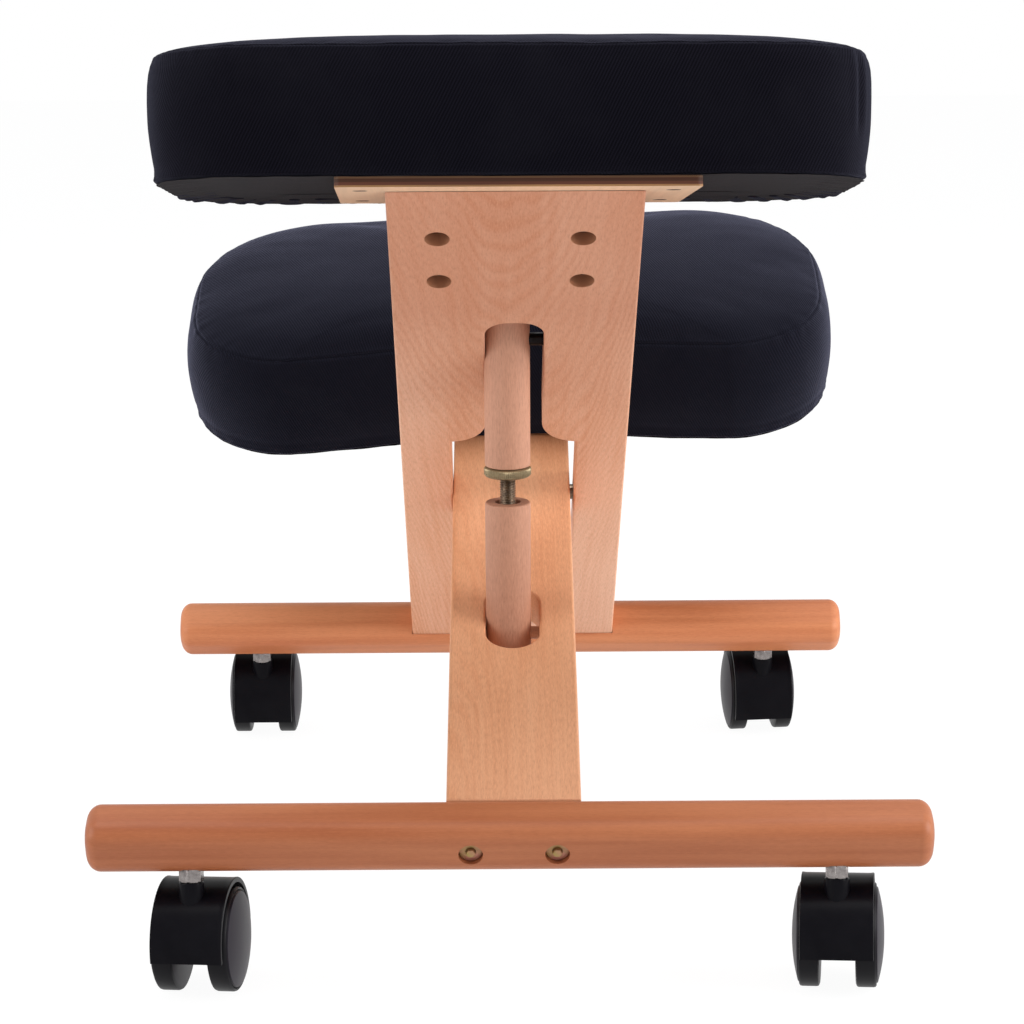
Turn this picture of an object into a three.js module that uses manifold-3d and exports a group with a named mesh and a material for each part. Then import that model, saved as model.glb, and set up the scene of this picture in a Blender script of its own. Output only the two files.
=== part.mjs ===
// Kneeling chair: two beams crossed at a pivot, opened by a turned strut with an adjusting screw.
// Millimetres, +X to the sitter's left, +Y the way the sitter faces, +Z up, floor at zero.
import * as THREE from 'three';
import { mergeVertices } from 'three/addons/utils/BufferGeometryUtils.js';
import Module from 'manifold-3d';

const wasm = await Module();
wasm.setup();
const degree = Math.PI / 180;

// Frame: the sizes that set the stance
const pivotHeight = 222;
const seatBeamRun = 210;
const kneeBeamRun = 352;
const stemTilt = 10.7 * degree;

// Fits
const fit = 0.3;
const overrun = 5;

// Seat beam: a plank with a strut slot, and a fork that straddles the knee beam
const seatBeamWidth = 144.6;
const seatBeamThickness = 24;
const beamEase = 1.6;
const seatBeamTop = 376;
const forkGap = 79.8;
const forkShoulder = 90;
const forkFoot = 148;
const tongueRound = 23;
const strutSlotWidth = 35.6;
const strutSlotTop = 235;
const strutSlotCorner = 14;

// Knee beam
const kneeBeamWidth = 77.2;
const kneeBeamThickness = 24;
const kneeBeamEnd = 202;
const kneeSlotWidth = 33.4;
const kneeSlotLength = 62;

// Crossbars
const barLength = 480;
const barSize = 34;
const barRound = 12;
const barEndRound = 8;
const frontHousing = 6;
const casterInset = 56.5;

// Frame pivot and strut pins
const axleRadius = 5;
const axleRecess = 3;
const upperPinRun = 198;
const lowerPinRun = 158;
const pinRadius = 4;
const pinBite = 20;

// Strut: two turned lengths, a knurled wheel and a threaded rod
const strutRadius = 14;
const strutEnd = 19;
const strutEndRound = 6;
const strutEase = 1;
const strutSideShift = -2.4;
const lowerStrutLength = 84;
const lowerStrutTail = 15;
const lowerBoreRadius = 7.5;
const lowerBoreDepth = 74;
const screwGap = 16.5;
const wheelKnobRadius = 14.5;
const wheelKnobHeight = 6;
const knurlDepth = 0.6;
const knurlCount = 36;
const rodRadius = 5;
const rodBelow = 74;
const rodAbove = 40;
const insertTop = 6;
const insertHeight = 12;
const insertPlay = 1.2;

// Beam bolts through the crossbars
const boltRadius = 2.8;
const boltLength = 78;
const boltSink = 5;
const boltWasherRadius = 6.6;
const boltWasherHeight = 1.4;
const boltHeadRadius = 3.1;
const boltHeadHeight = 3;
const rearBoltInset = 14.1;
const frontBoltInset = 16.3;

// Screws through the seat beam, set down from its upper end
const screwSpread = 83;
const screwUpperDrop = 48;
const screwLowerDrop = 93;
const screwSinkRadius = 7.2;
const screwSink = 12;
const screwRadius = 3;
const screwHeadRadius = 6;
const screwHeadHeight = 4;
const screwBite = 9;

// Seat plate, gussets and the two upholstered boards
const seatTilt = 10 * degree;
const plateOverhang = 36;
const plateWidth = 200;
const plateDepth = 150;
const plateThickness = 6.2;
const plateCorner = 5;
const plateHoleRadius = 3.6;
const plateHoleInset = 12;
const plateHoleEdge = 20;
const gussetWidth = 24;
const gussetInset = 6;
const gussetReach = 88;
const boardThickness = 12;
const boardInset = 10;

// Seat cushion
const seatWidth = 400;
const seatDepth = 262;
const seatCorner = 75;
const seatEdge = 64;
const seatCrown = 14;
const seatOverhang = 34;

// Knee pad
const padWidth = 446;
const padDepth = 195.5;
const padNearCorner = 76;
const padFarCorner = 95;
const padEdge = 70;
const padCrown = 15;
const padDip = 14;
const padDipWidth = 330;
const padStart = 31.5;

// Soft edges, in millimetres of draw-in, and the heights where they come as shares
const hemDraw = 6;
const hemRise = 1;
const seamDraw = 5;
const sideShares = [[0.14, 0.12], [0.4, 0], [0.7, 0.15], [0.9, 0.55]];
const crownShares = [0.985, 0.95, 0.87, 0.72, 0.45];
const crownPowerShare = 6;
const outlineSteps = { corner: 8, near: 10, far: 6, side: 2 };

// Casters: stem, hood and two wheels each
const stemDrop = 61;
const stemTrail = 20;
const stemRadius = 4;
const stemInBar = 12;
const stemInBoss = 22;
const collarRadius = 7.3;
const collarHeight = 7.4;
const collarSeat = 17.6;
const casterWheelRadius = 30;
const wheelGap = 20.6;
const wheelTread = 11.8;
const wheelDome = 4.2;
const wheelEase = 1.4;
const wheelBite = 9.5;
const wheelFacets = 24;
const hoodClear = 2.4;
const hoodWall = 2.8;
const hoodWidth = 41.6;
const hoodFront = 195 * degree;
const hoodBack = 12 * degree;
const hoodWeb = 10;
const hubRadius = 8;
const casterAxleRadius = 3;
const bossRadius = 6.9;
const bossFootRadius = 4.9;
const bossLength = 26;
const casters = [
  { name: 'rear_left', side: -1, front: false, swivel: 9 * degree },
  { name: 'rear_right', side: 1, front: false, swivel: 8 * degree },
  { name: 'front_left', side: -1, front: true, swivel: 0 },
  { name: 'front_right', side: 1, front: true, swivel: -4 * degree },
];

// Colours
const beech = 0xd9a679;
const paleBeech = 0xe0b795;
const ply = 0xb98b60;
const fabric = 0x23252f;
const zinc = 0xb4b2a8;
const brass = 0xb0a66a;
const steel = 0x8d8d90;
const nylon = 0x1b1b1f;

// Solids
function solidOf(geometry) {
  const loose = geometry.index ? geometry.toNonIndexed() : geometry.clone();
  loose.deleteAttribute('normal');
  loose.deleteAttribute('uv');
  const merged = mergeVertices(loose);
  const kept = [];
  const index = merged.index.array;
  for (let i = 0; i < index.length; i += 3) {
    const [a, b, c] = [index[i], index[i + 1], index[i + 2]];
    if (a !== b && b !== c && c !== a) kept.push(a, b, c);
  }
  return new wasm.Manifold(new wasm.Mesh({
    numProp: 3,
    vertProperties: new Float32Array(merged.attributes.position.array),
    triVerts: new Uint32Array(kept),
  }));
}

function geometryOf(solid) {
  const mesh = solid.getMesh();
  const geometry = new THREE.BufferGeometry();
  geometry.setAttribute('position', new THREE.BufferAttribute(new Float32Array(mesh.vertProperties), 3));
  geometry.setIndex(new THREE.BufferAttribute(new Uint32Array(mesh.triVerts), 1));
  geometry.computeVertexNormals();
  return geometry;
}

const place = (solid, matrix) => solid.transform(matrix.elements);
const shift = (x, y, z) => new THREE.Matrix4().makeTranslation(x, y, z);

// A frame from its origin and the directions of its X and Y
function frameAt(origin, x, y) {
  const z = new THREE.Vector3().crossVectors(x, y);
  return new THREE.Matrix4().makeBasis(x, y, z).setPosition(origin);
}

// A frame whose Z runs along a direction, with X across the chair
function axisFrame(origin, direction) {
  const across = new THREE.Vector3(1, 0, 0);
  return frameAt(origin, across, new THREE.Vector3().crossVectors(direction, across));
}

function cylinder(radius, length, facets = 20, topRadius = radius) {
  const geometry = new THREE.CylinderGeometry(topRadius, radius, length, facets);
  geometry.rotateX(Math.PI / 2);
  geometry.translate(0, 0, length / 2);
  return solidOf(geometry);
}

// A cylinder along X, centred
function crossPin(radius, length, facets = 16) {
  const geometry = new THREE.CylinderGeometry(radius, radius, length, facets);
  geometry.rotateZ(Math.PI / 2);
  return solidOf(geometry);
}

// An outline pushed along Z, with its edges eased, centred on the outline's plane
function plank(shape, thickness, ease, steps = 6) {
  const geometry = new THREE.ExtrudeGeometry(shape, {
    depth: thickness - 2 * ease,
    bevelEnabled: ease > 0,
    bevelThickness: ease,
    bevelSize: ease,
    bevelOffset: -ease,
    bevelSegments: 1,
    curveSegments: steps,
  });
  geometry.translate(0, 0, ease - thickness / 2);
  return solidOf(geometry);
}

function turned(profile, facets) {
  const geometry = new THREE.LatheGeometry(profile.map(([r, h]) => new THREE.Vector2(r, h)), facets);
  geometry.rotateX(Math.PI / 2);
  return solidOf(geometry);
}

function box(width, depth, height) {
  return solidOf(new THREE.BoxGeometry(width, depth, height));
}

function roundedRect(path, left, bottom, width, height, radius) {
  const right = left + width;
  const top = bottom + height;
  path.moveTo(left + radius, bottom);
  path.lineTo(right - radius, bottom);
  path.absarc(right - radius, bottom + radius, radius, -Math.PI / 2, 0, false);
  path.lineTo(right, top - radius);
  path.absarc(right - radius, top - radius, radius, 0, Math.PI / 2, false);
  path.lineTo(left + radius, top);
  path.absarc(left + radius, top - radius, radius, Math.PI / 2, Math.PI, false);
  path.lineTo(left, bottom + radius);
  path.absarc(left + radius, bottom + radius, radius, Math.PI, 1.5 * Math.PI, false);
  path.closePath();
  return path;
}

// Stance: both bars stand on their casters, and the beams' slopes follow
const axleDrop = stemDrop * Math.cos(stemTilt);
const trailRise = stemTrail * Math.sin(stemTilt);
const rearBarHeight = casterWheelRadius + axleDrop + trailRise;
const frontBarHeight = casterWheelRadius + axleDrop - trailRise;
const seatSlope = Math.asin((pivotHeight - frontBarHeight) / seatBeamRun);
const kneeSlope = Math.asin((pivotHeight - rearBarHeight) / kneeBeamRun);

const across = new THREE.Vector3(1, 0, 0);
const pivot = new THREE.Vector3(0, 0, pivotHeight);
const seatRise = new THREE.Vector3(0, -Math.cos(seatSlope), Math.sin(seatSlope));
const kneeRise = new THREE.Vector3(0, Math.cos(kneeSlope), Math.sin(kneeSlope));
// Local Z is the seat beam's underside, which faces the photograph, and the knee beam's top
const seatFrame = frameAt(pivot, across, seatRise);
const kneeFrame = frameAt(pivot, across, kneeRise);
const along = (direction, run) => pivot.clone().addScaledVector(direction, run);

const group = new THREE.Group();
group.name = 'kneeling_chair';

function add(name, solid, colour, options = {}) {
  const material = new THREE.MeshStandardMaterial({ color: colour, roughness: 0.6, metalness: 0, ...options });
  material.name = name + '_material';
  const mesh = new THREE.Mesh(geometryOf(solid), material);
  mesh.name = name;
  group.add(mesh);
}

const metal = { metalness: 0.9, roughness: 0.35 };

// Crossbar: a rounded square, square to its beam, with rounded ends
const barGap = barSize / 2 + fit;
function crossbar() {
  const half = barSize / 2;
  const shape = roundedRect(new THREE.Shape(), -half, -half, barSize, barSize, barRound);
  const geometry = new THREE.ExtrudeGeometry(shape, {
    depth: barLength - 2 * barEndRound,
    bevelThickness: barEndRound,
    bevelSize: barEndRound,
    bevelOffset: -barEndRound,
    bevelSegments: 2,
    curveSegments: 4,
  });
  geometry.translate(0, 0, barEndRound - barLength / 2);
  geometry.rotateY(Math.PI / 2);
  return solidOf(geometry);
}

// A beam bolt, with its washer, head down its local Z; the washer's seat is at zero
function beamBolt() {
  const head = cylinder(boltHeadRadius, boltHeadHeight + boltWasherHeight, 6);
  const washer = cylinder(boltWasherRadius, boltWasherHeight);
  const shank = cylinder(boltRadius, boltLength + boltHeadHeight, 12);
  return place(head, shift(0, 0, -boltWasherHeight - boltHeadHeight))
    .add(place(washer, shift(0, 0, -boltWasherHeight)))
    .add(place(shank, shift(0, 0, -boltHeadHeight)));
}

// What a beam bolt needs cut: a sink in the bar and a hole beyond it
function boltCut() {
  const sink = cylinder(boltWasherRadius + fit * 2, barSize);
  const hole = cylinder(boltRadius + fit, boltLength + fit + overrun, 12);
  return place(sink, shift(0, 0, -barSize)).add(place(hole, shift(0, 0, -overrun)));
}

// Caster frames: origin on the wheel axle, Z up the stem, Y the way it trails, X along the axle
function casterFrame(caster, bar) {
  const lean = caster.front ? stemTilt : -stemTilt;
  const up = new THREE.Vector3(0, -Math.sin(lean), Math.cos(lean));
  const trail = new THREE.Vector3(0, Math.cos(lean), Math.sin(lean));
  trail.applyAxisAngle(up, -caster.swivel);
  const origin = bar.clone();
  origin.x = caster.side * (barLength / 2 - casterInset);
  origin.addScaledVector(up, -stemDrop).addScaledVector(trail, stemTrail);
  return frameAt(origin, new THREE.Vector3().crossVectors(trail, up), trail);
}

// The stem in its caster's frame: a hex collar, a shank up into the bar and one down in the boss
const collarTop = stemDrop - collarSeat;
const collarFoot = collarTop - collarHeight;
const bossTop = collarFoot - fit;
function casterStem() {
  const shank = cylinder(stemRadius, stemInBoss + collarHeight + stemInBar, 12);
  return place(shank, shift(0, -stemTrail, collarFoot - stemInBoss))
    .add(place(cylinder(collarRadius, collarHeight, 6), shift(0, -stemTrail, collarFoot)));
}

function stemCut() {
  const face = cylinder(collarRadius + 2 * fit, barSize, 16);
  const hole = cylinder(stemRadius + fit, stemInBar + overrun + fit, 12);
  return place(face, shift(0, -stemTrail, collarTop - barSize))
    .add(place(hole, shift(0, -stemTrail, collarTop - overrun)));
}

const hoodInner = casterWheelRadius + hoodClear;
const hoodOuter = hoodInner + hoodWall;
function casterHood() {
  const shell = new THREE.Shape();
  shell.absarc(0, 0, hoodOuter, hoodBack, hoodFront, false);
  shell.absarc(0, 0, hoodInner, hoodFront, hoodBack, true);
  shell.closePath();
  const web = new THREE.Shape();
  web.absarc(0, 0, (hoodInner + hoodOuter) / 2, hoodBack, Math.PI, false);
  web.absarc(0, 0, hubRadius, Math.PI, 2 * Math.PI + hoodBack, false);
  web.closePath();
  // Outlines are drawn along Y and Z and pushed along X
  const turn = new THREE.Matrix4().makeBasis(
    new THREE.Vector3(0, 1, 0), new THREE.Vector3(0, 0, 1), new THREE.Vector3(1, 0, 0));
  let hood = place(plank(shell, hoodWidth, wheelEase / 2, 12), turn);
  hood = hood.add(place(plank(web, hoodWeb, 0, 12), turn));
  const boss = cylinder(bossFootRadius, bossLength, 16, bossRadius);
  hood = hood.add(place(boss, shift(0, -stemTrail, bossTop - bossLength)));
  const bore = cylinder(stemRadius + fit, stemInBoss + collarHeight + fit, 12);
  hood = hood.subtract(place(bore, shift(0, -stemTrail, bossTop - stemInBoss - fit)));
  return hood.subtract(crossPin(casterAxleRadius + fit, hoodWidth));
}

function casterWheel(side, frame) {
  const apothem = Math.cos(Math.PI / wheelFacets);
  const rim = casterWheelRadius / apothem;
  const inner = wheelGap / 2;
  const outer = inner + wheelTread;
  const bore = casterAxleRadius + fit;
  const profile = [[0, inner + wheelBite], [bore, inner + wheelBite], [bore, inner],
    [rim - wheelEase, inner], [rim, inner + wheelEase], [rim, outer - wheelEase],
    [rim - wheelEase, outer]];
  const domeShares = [0.8, 0.5, 0.2, 0];
  for (const share of domeShares) {
    profile.push([(rim - wheelEase) * share, outer + wheelDome * (1 - share * share)]);
  }
  const solid = turned(profile, wheelFacets);
  // The lathe's axis goes across, and half a facet's turn with the stem's lean puts a flat on the floor
  const half = new THREE.Matrix4().makeRotationZ(Math.PI / wheelFacets);
  const toSide = new THREE.Matrix4().makeBasis(
    new THREE.Vector3(0, 1, 0), new THREE.Vector3(0, 0, side), new THREE.Vector3(side, 0, 0));
  const leanOf = frame.elements;
  const level = new THREE.Matrix4().makeRotationX(Math.atan2(-leanOf[6], leanOf[10]));
  return place(place(place(solid, half), toSide), level);
}

// Beams
function seatBeamSolid() {
  const half = seatBeamWidth / 2;
  const foot = -seatBeamRun + barGap - frontHousing;
  const top = seatBeamTop + seatBeamThickness * 3;
  const slot = strutSlotWidth / 2;
  const gap = forkGap / 2;
  const shape = new THREE.Shape();
  shape.moveTo(-half, foot);
  shape.lineTo(half, foot);
  shape.lineTo(half, top);
  shape.lineTo(-half, top);
  shape.closePath();
  const hole = new THREE.Path();
  hole.moveTo(gap, -forkFoot);
  hole.lineTo(gap, forkShoulder);
  hole.absellipse(gap, forkShoulder + tongueRound, gap - slot, tongueRound, -Math.PI / 2, -Math.PI, true);
  hole.lineTo(slot, strutSlotTop - strutSlotCorner);
  hole.absarc(slot - strutSlotCorner, strutSlotTop - strutSlotCorner, strutSlotCorner, 0, Math.PI / 2, false);
  hole.absarc(strutSlotCorner - slot, strutSlotTop - strutSlotCorner, strutSlotCorner,
    Math.PI / 2, Math.PI, false);
  hole.lineTo(-slot, forkShoulder + tongueRound);
  hole.absellipse(-gap, forkShoulder + tongueRound, gap - slot, tongueRound, 0, -Math.PI / 2, true);
  hole.lineTo(-gap, -forkFoot);
  hole.closePath();
  shape.holes.push(hole);
  return plank(shape, seatBeamThickness, beamEase, 7);
}

function kneeBeamSolid() {
  const half = kneeBeamWidth / 2;
  const foot = -kneeBeamRun + barGap;
  const shape = new THREE.Shape();
  shape.moveTo(-half, foot);
  shape.lineTo(half, foot);
  shape.lineTo(half, kneeBeamEnd);
  shape.lineTo(-half, kneeBeamEnd);
  shape.closePath();
  const slot = kneeSlotWidth / 2;
  const hole = roundedRect(new THREE.Path(), -slot, -lowerPinRun - kneeSlotLength / 2,
    kneeSlotWidth, kneeSlotLength, slot);
  shape.holes.push(hole);
  return plank(shape, kneeBeamThickness, beamEase, 8);
}

// Seat and knee pad outlines: a rounded rectangle, with a dip in its near edge
const seatPlan = { width: seatWidth, depth: seatDepth, near: seatCorner, far: seatCorner, dip: 0, dipWidth: seatWidth };
const padPlan = {
  width: padWidth, depth: padDepth, near: padNearCorner, far: padFarCorner, dip: padDip, dipWidth: padDipWidth,
};
function outline({ width, depth, near, far, dip, dipWidth }, inset) {
  const points = [];
  const nearX = width / 2 - near;
  const nearY = near - depth / 2;
  const farX = width / 2 - far;
  const farY = depth / 2 - far;
  const dipAt = (px) => (Math.abs(px) < dipWidth / 2 ? dip * Math.cos((px / dipWidth) * Math.PI) ** 2 : 0);
  const edge = (x0, y0, x1, y1, steps, dips) => {
    for (let i = 0; i < steps; i += 1) {
      const px = x0 + ((x1 - x0) * i) / steps;
      points.push(new THREE.Vector2(px, y0 + ((y1 - y0) * i) / steps + (dips ? dipAt(px) : 0)));
    }
  };
  const arc = (cx, cy, radius, from) => {
    for (let i = 0; i < outlineSteps.corner; i += 1) {
      const angle = from + (Math.PI / 2) * (i / outlineSteps.corner);
      points.push(new THREE.Vector2(cx + radius * Math.cos(angle), cy + radius * Math.sin(angle)));
    }
  };
  const [right, nearEdge, farEdge] = [width / 2 - inset, inset - depth / 2, depth / 2 - inset];
  edge(-nearX, nearEdge, nearX, nearEdge, outlineSteps.near, true);
  arc(nearX, nearY, near - inset, -Math.PI / 2);
  edge(right, nearY, right, farY, outlineSteps.side, false);
  arc(farX, farY, far - inset, 0);
  edge(farX, farEdge, -farX, farEdge, outlineSteps.far, false);
  arc(-farX, farY, far - inset, Math.PI / 2);
  edge(-right, farY, -right, nearY, outlineSteps.side, false);
  arc(-nearX, nearY, near - inset, Math.PI);
  return points;
}

// A closed skin through rings of points, capped at both ends by a fan
function loft(rings, bottom, top) {
  const positions = [];
  const count = rings[0].length;
  const tri = (a, b, c) => positions.push(a.x, a.y, a.z, b.x, b.y, b.z, c.x, c.y, c.z);
  for (let i = 0; i < count; i += 1) {
    const j = (i + 1) % count;
    tri(bottom, rings[0][j], rings[0][i]);
    for (let r = 0; r + 1 < rings.length; r += 1) {
      tri(rings[r][i], rings[r][j], rings[r + 1][j]);
      tri(rings[r][i], rings[r + 1][j], rings[r + 1][i]);
    }
    tri(rings[rings.length - 1][i], rings[rings.length - 1][j], top);
  }
  const geometry = new THREE.BufferGeometry();
  geometry.setAttribute('position', new THREE.Float32BufferAttribute(positions, 3));
  return solidOf(geometry);
}

// An upholstered cushion round its board: hem drawn in below, seam near the top, crowned
function cushion(plan, edge, crown) {
  const ring = (inset, share, z) => outline(plan, inset)
    .map((p) => new THREE.Vector3(p.x * share, p.y * share, z));
  const rings = [ring(hemDraw, 1, 0), ring(hemDraw / 2, 1, hemRise)];
  for (const [heightShare, drawShare] of sideShares) rings.push(ring(seamDraw * drawShare, 1, edge * heightShare));
  rings.push(ring(seamDraw, 1, edge));
  for (const share of crownShares) {
    rings.push(ring(seamDraw, share, edge + crown * (1 - share ** crownPowerShare)));
  }
  const whole = loft(rings, new THREE.Vector3(0, 0, 0), new THREE.Vector3(0, 0, edge + crown));
  const pocket = plank(new THREE.Shape(outline(plan, boardInset)), 2 * boardThickness + 2 * fit, 0);
  return whole.subtract(pocket);
}

function board(plan) {
  const shape = new THREE.Shape(outline(plan, boardInset + fit));
  return place(plank(shape, boardThickness, beamEase / 2), shift(0, 0, boardThickness / 2));
}

// Where the plate lies: its underside meets the seat beam's top end
const beamHalf = seatBeamThickness / 2;
const seatBack = new THREE.Vector3(0, Math.cos(seatTilt), -Math.sin(seatTilt));
const seatUp = new THREE.Vector3(0, Math.sin(seatTilt), Math.cos(seatTilt));
const beamUnder = new THREE.Vector3().crossVectors(across, seatRise);
const plateEdge = along(seatRise, seatBeamTop).addScaledVector(beamUnder, beamHalf)
  .addScaledVector(seatBack, -plateOverhang).addScaledVector(seatUp, fit);
const plateFrame = frameAt(plateEdge, across, seatBack);
const seatOrigin = plateEdge.clone().addScaledVector(seatUp, plateThickness + fit)
  .addScaledVector(seatBack, seatDepth / 2 - seatOverhang);
const cushionFrame = frameAt(seatOrigin, across, seatBack);

// Screws up through the seat beam into the seat board
const screwRuns = { upper: seatBeamTop - screwUpperDrop, lower: seatBeamTop - screwLowerDrop };
const boardBottom = new THREE.Plane().setFromNormalAndCoplanarPoint(seatUp, seatOrigin);
function screwPlace(side, run) {
  const start = along(seatRise, run).addScaledVector(beamUnder, beamHalf - screwSink);
  start.x = side * screwSpread / 2;
  const direction = beamUnder.clone().negate();
  const reach = -boardBottom.distanceToPoint(start) / direction.dot(seatUp);
  return { frame: axisFrame(start, direction), length: reach + screwBite };
}
const seatScrews = [];
for (const side of [-1, 1]) {
  for (const [level, run] of Object.entries(screwRuns)) {
    seatScrews.push({ name: `beam_screw_${level}_${side < 0 ? 'left' : 'right'}`, ...screwPlace(side, run) });
  }
}
const screwHoles = seatScrews.map(({ frame, length }) => place(
  cylinder(screwRadius + fit, length + overrun + fit, 12).add(
    place(cylinder(screwSinkRadius, screwSink + overrun, 18), shift(0, 0, -screwSink - overrun))),
  frame));
const drill = (solid, cuts) => cuts.reduce((left, cut) => left.subtract(cut), solid);

// Beam bolts: the rear pair's heads face back, the front pair's face forward
function boltPlaces(direction, run, spread) {
  return [-1, 1].map((side) => {
    const seat = along(direction, -run - barSize / 2 + boltSink);
    seat.x = side * spread / 2;
    return axisFrame(seat, direction);
  });
}
const rearBolts = boltPlaces(kneeRise, kneeBeamRun, kneeBeamWidth - 2 * rearBoltInset);
const frontBolts = boltPlaces(seatRise, seatBeamRun, seatBeamWidth - 2 * frontBoltInset);

const rearBar = along(kneeRise, -kneeBeamRun);
const frontBar = along(seatRise, -seatBeamRun);
const casterFrames = casters.map((caster) => casterFrame(caster, caster.front ? frontBar : rearBar));

// Strut pins and the strut's line
const upperPin = along(seatRise, upperPinRun);
const lowerPin = along(kneeRise, -lowerPinRun);
const strutLine = upperPin.clone().sub(lowerPin);
const strutLength = strutLine.length();
strutLine.normalize();
const strutFrame = axisFrame(lowerPin.clone().setX(strutSideShift), strutLine);

// Knee frame
const rearBarSolid = drill(place(crossbar(), kneeFrame.clone().setPosition(rearBar)), [
  ...rearBolts.map((frame) => place(boltCut(), frame)),
  ...casterFrames.filter((_, i) => !casters[i].front).map((frame) => place(stemCut(), frame)),
]);
add('rear_bar', rearBarSolid, beech);

const pinPocket = (slot) => crossPin(pinRadius + fit, slot + 2 * (pinBite + fit), 16);
let kneeBeam = kneeBeamSolid();
kneeBeam = kneeBeam.subtract(crossPin(axleRadius + fit, kneeBeamWidth + overrun));
kneeBeam = kneeBeam.subtract(place(pinPocket(kneeSlotWidth - pinBite / 2), shift(0, -lowerPinRun, 0)));
kneeBeam = drill(place(kneeBeam, kneeFrame), rearBolts.map((frame) => place(boltCut(), frame)));
add('knee_beam', kneeBeam, beech);
rearBolts.forEach((frame, i) => add(`rear_bolt_${i ? 'right' : 'left'}`, place(beamBolt(), frame), zinc, metal));
add('lower_strut_pin', place(crossPin(pinRadius, kneeSlotWidth + 2 * pinBite - pinBite / 2, 16),
  kneeFrame.clone().setPosition(lowerPin)), steel, metal);

const padFrame = kneeFrame.clone().setPosition(along(kneeRise, padStart + padDepth / 2)
  .addScaledVector(new THREE.Vector3().crossVectors(across, kneeRise), kneeBeamThickness / 2 + fit));
add('knee_pad_board', place(board(padPlan), padFrame), ply);
add('knee_pad', place(cushion(padPlan, padEdge, padCrown), padFrame), fabric, { roughness: 0.95 });

// Seat frame
// The seat beam's foot is let into the front bar
const housing = place(box(seatBeamWidth + 2 * fit, barSize, seatBeamThickness + 2 * fit),
  seatFrame.clone().multiply(shift(0, -seatBeamRun + barSize - frontHousing, 0)));
const frontBarSolid = drill(place(crossbar(), seatFrame.clone().setPosition(frontBar)), [
  housing,
  ...frontBolts.map((frame) => place(boltCut(), frame)),
  ...casterFrames.filter((_, i) => casters[i].front).map((frame) => place(stemCut(), frame)),
]);
add('front_bar', frontBarSolid, beech);

let seatBeam = seatBeamSolid();
seatBeam = seatBeam.subtract(crossPin(axleRadius + fit, seatBeamWidth + overrun));
seatBeam = seatBeam.subtract(place(pinPocket(strutSlotWidth), shift(0, upperPinRun, 0)));
seatBeam = place(seatBeam, seatFrame);
const abovePlate = place(box(seatWidth, seatDepth, seatDepth),
  plateFrame.clone().multiply(shift(0, 0, seatDepth / 2 - fit)));
seatBeam = seatBeam.subtract(abovePlate);
seatBeam = drill(seatBeam, [...frontBolts.map((frame) => place(boltCut(), frame)), ...screwHoles]);
add('seat_beam', seatBeam, beech);
frontBolts.forEach((frame, i) => add(`front_bolt_${i ? 'right' : 'left'}`, place(beamBolt(), frame), zinc, metal));

add('pivot_axle', place(crossPin(axleRadius, seatBeamWidth - 2 * axleRecess), seatFrame), steel, metal);
add('upper_strut_pin', place(crossPin(pinRadius, strutSlotWidth + 2 * pinBite, 16),
  seatFrame.clone().setPosition(upperPin)), steel, metal);

// Plate, with its four screw holes, and the gussets behind the beam
const plateShape = roundedRect(new THREE.Shape(), -plateWidth / 2, 0, plateWidth, plateDepth, plateCorner);
for (const side of [-1, 1]) {
  for (const y of [plateHoleInset, plateDepth - plateHoleInset]) {
    const hole = new THREE.Path();
    hole.absarc(side * (plateWidth / 2 - plateHoleEdge), y, plateHoleRadius, 0, 2 * Math.PI, false);
    plateShape.holes.push(hole);
  }
}
const plate = place(plank(plateShape, plateThickness, 0, 4),
  plateFrame.clone().multiply(shift(0, 0, plateThickness / 2)));
add('seat_plate', drill(plate, screwHoles), ply);

// A gusset's side: along the beam's hidden face, then along the plate's underside
const wedge = Math.PI - seatSlope + seatTilt;
const wedgeOpen = seatSlope - seatTilt;
const beamTopRun = seatBeamTop - seatBeamThickness / Math.tan(wedgeOpen);
function gusset(side) {
  const apex = along(seatRise, beamTopRun).addScaledVector(beamUnder, -beamHalf - fit);
  const shape = new THREE.Shape();
  shape.moveTo(gussetInset, gussetInset * Math.tan(wedgeOpen));
  shape.lineTo(gussetInset, 0);
  shape.lineTo(gussetReach, 0);
  shape.lineTo(gussetReach, gussetReach * Math.tan(wedgeOpen) / 2);
  shape.lineTo(gussetReach * Math.cos(wedgeOpen), gussetReach * Math.sin(wedgeOpen));
  shape.closePath();
  const frame = new THREE.Matrix4().makeBasis(seatRise.clone().negate(), beamUnder.clone().negate(), across)
    .setPosition(apex.setX(side * screwSpread / 2));
  return place(plank(shape, gussetWidth, 0), frame).subtract(abovePlate);
}
for (const side of [-1, 1]) {
  add(`gusset_${side < 0 ? 'left' : 'right'}`, drill(gusset(side), screwHoles), beech);
}
for (const { name, frame, length } of seatScrews) {
  const shank = place(cylinder(screwRadius, length + screwHeadHeight, 12), shift(0, 0, -screwHeadHeight));
  const head = place(cylinder(screwHeadRadius, screwHeadHeight, 16), shift(0, 0, -screwHeadHeight));
  add(name, place(shank.add(head), frame), zinc, metal);
}
add('seat_board', drill(place(board(seatPlan), cushionFrame), screwHoles), ply);
add('seat_cushion', place(cushion(seatPlan, seatEdge, seatCrown), cushionFrame), fabric, { roughness: 0.95 });

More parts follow.
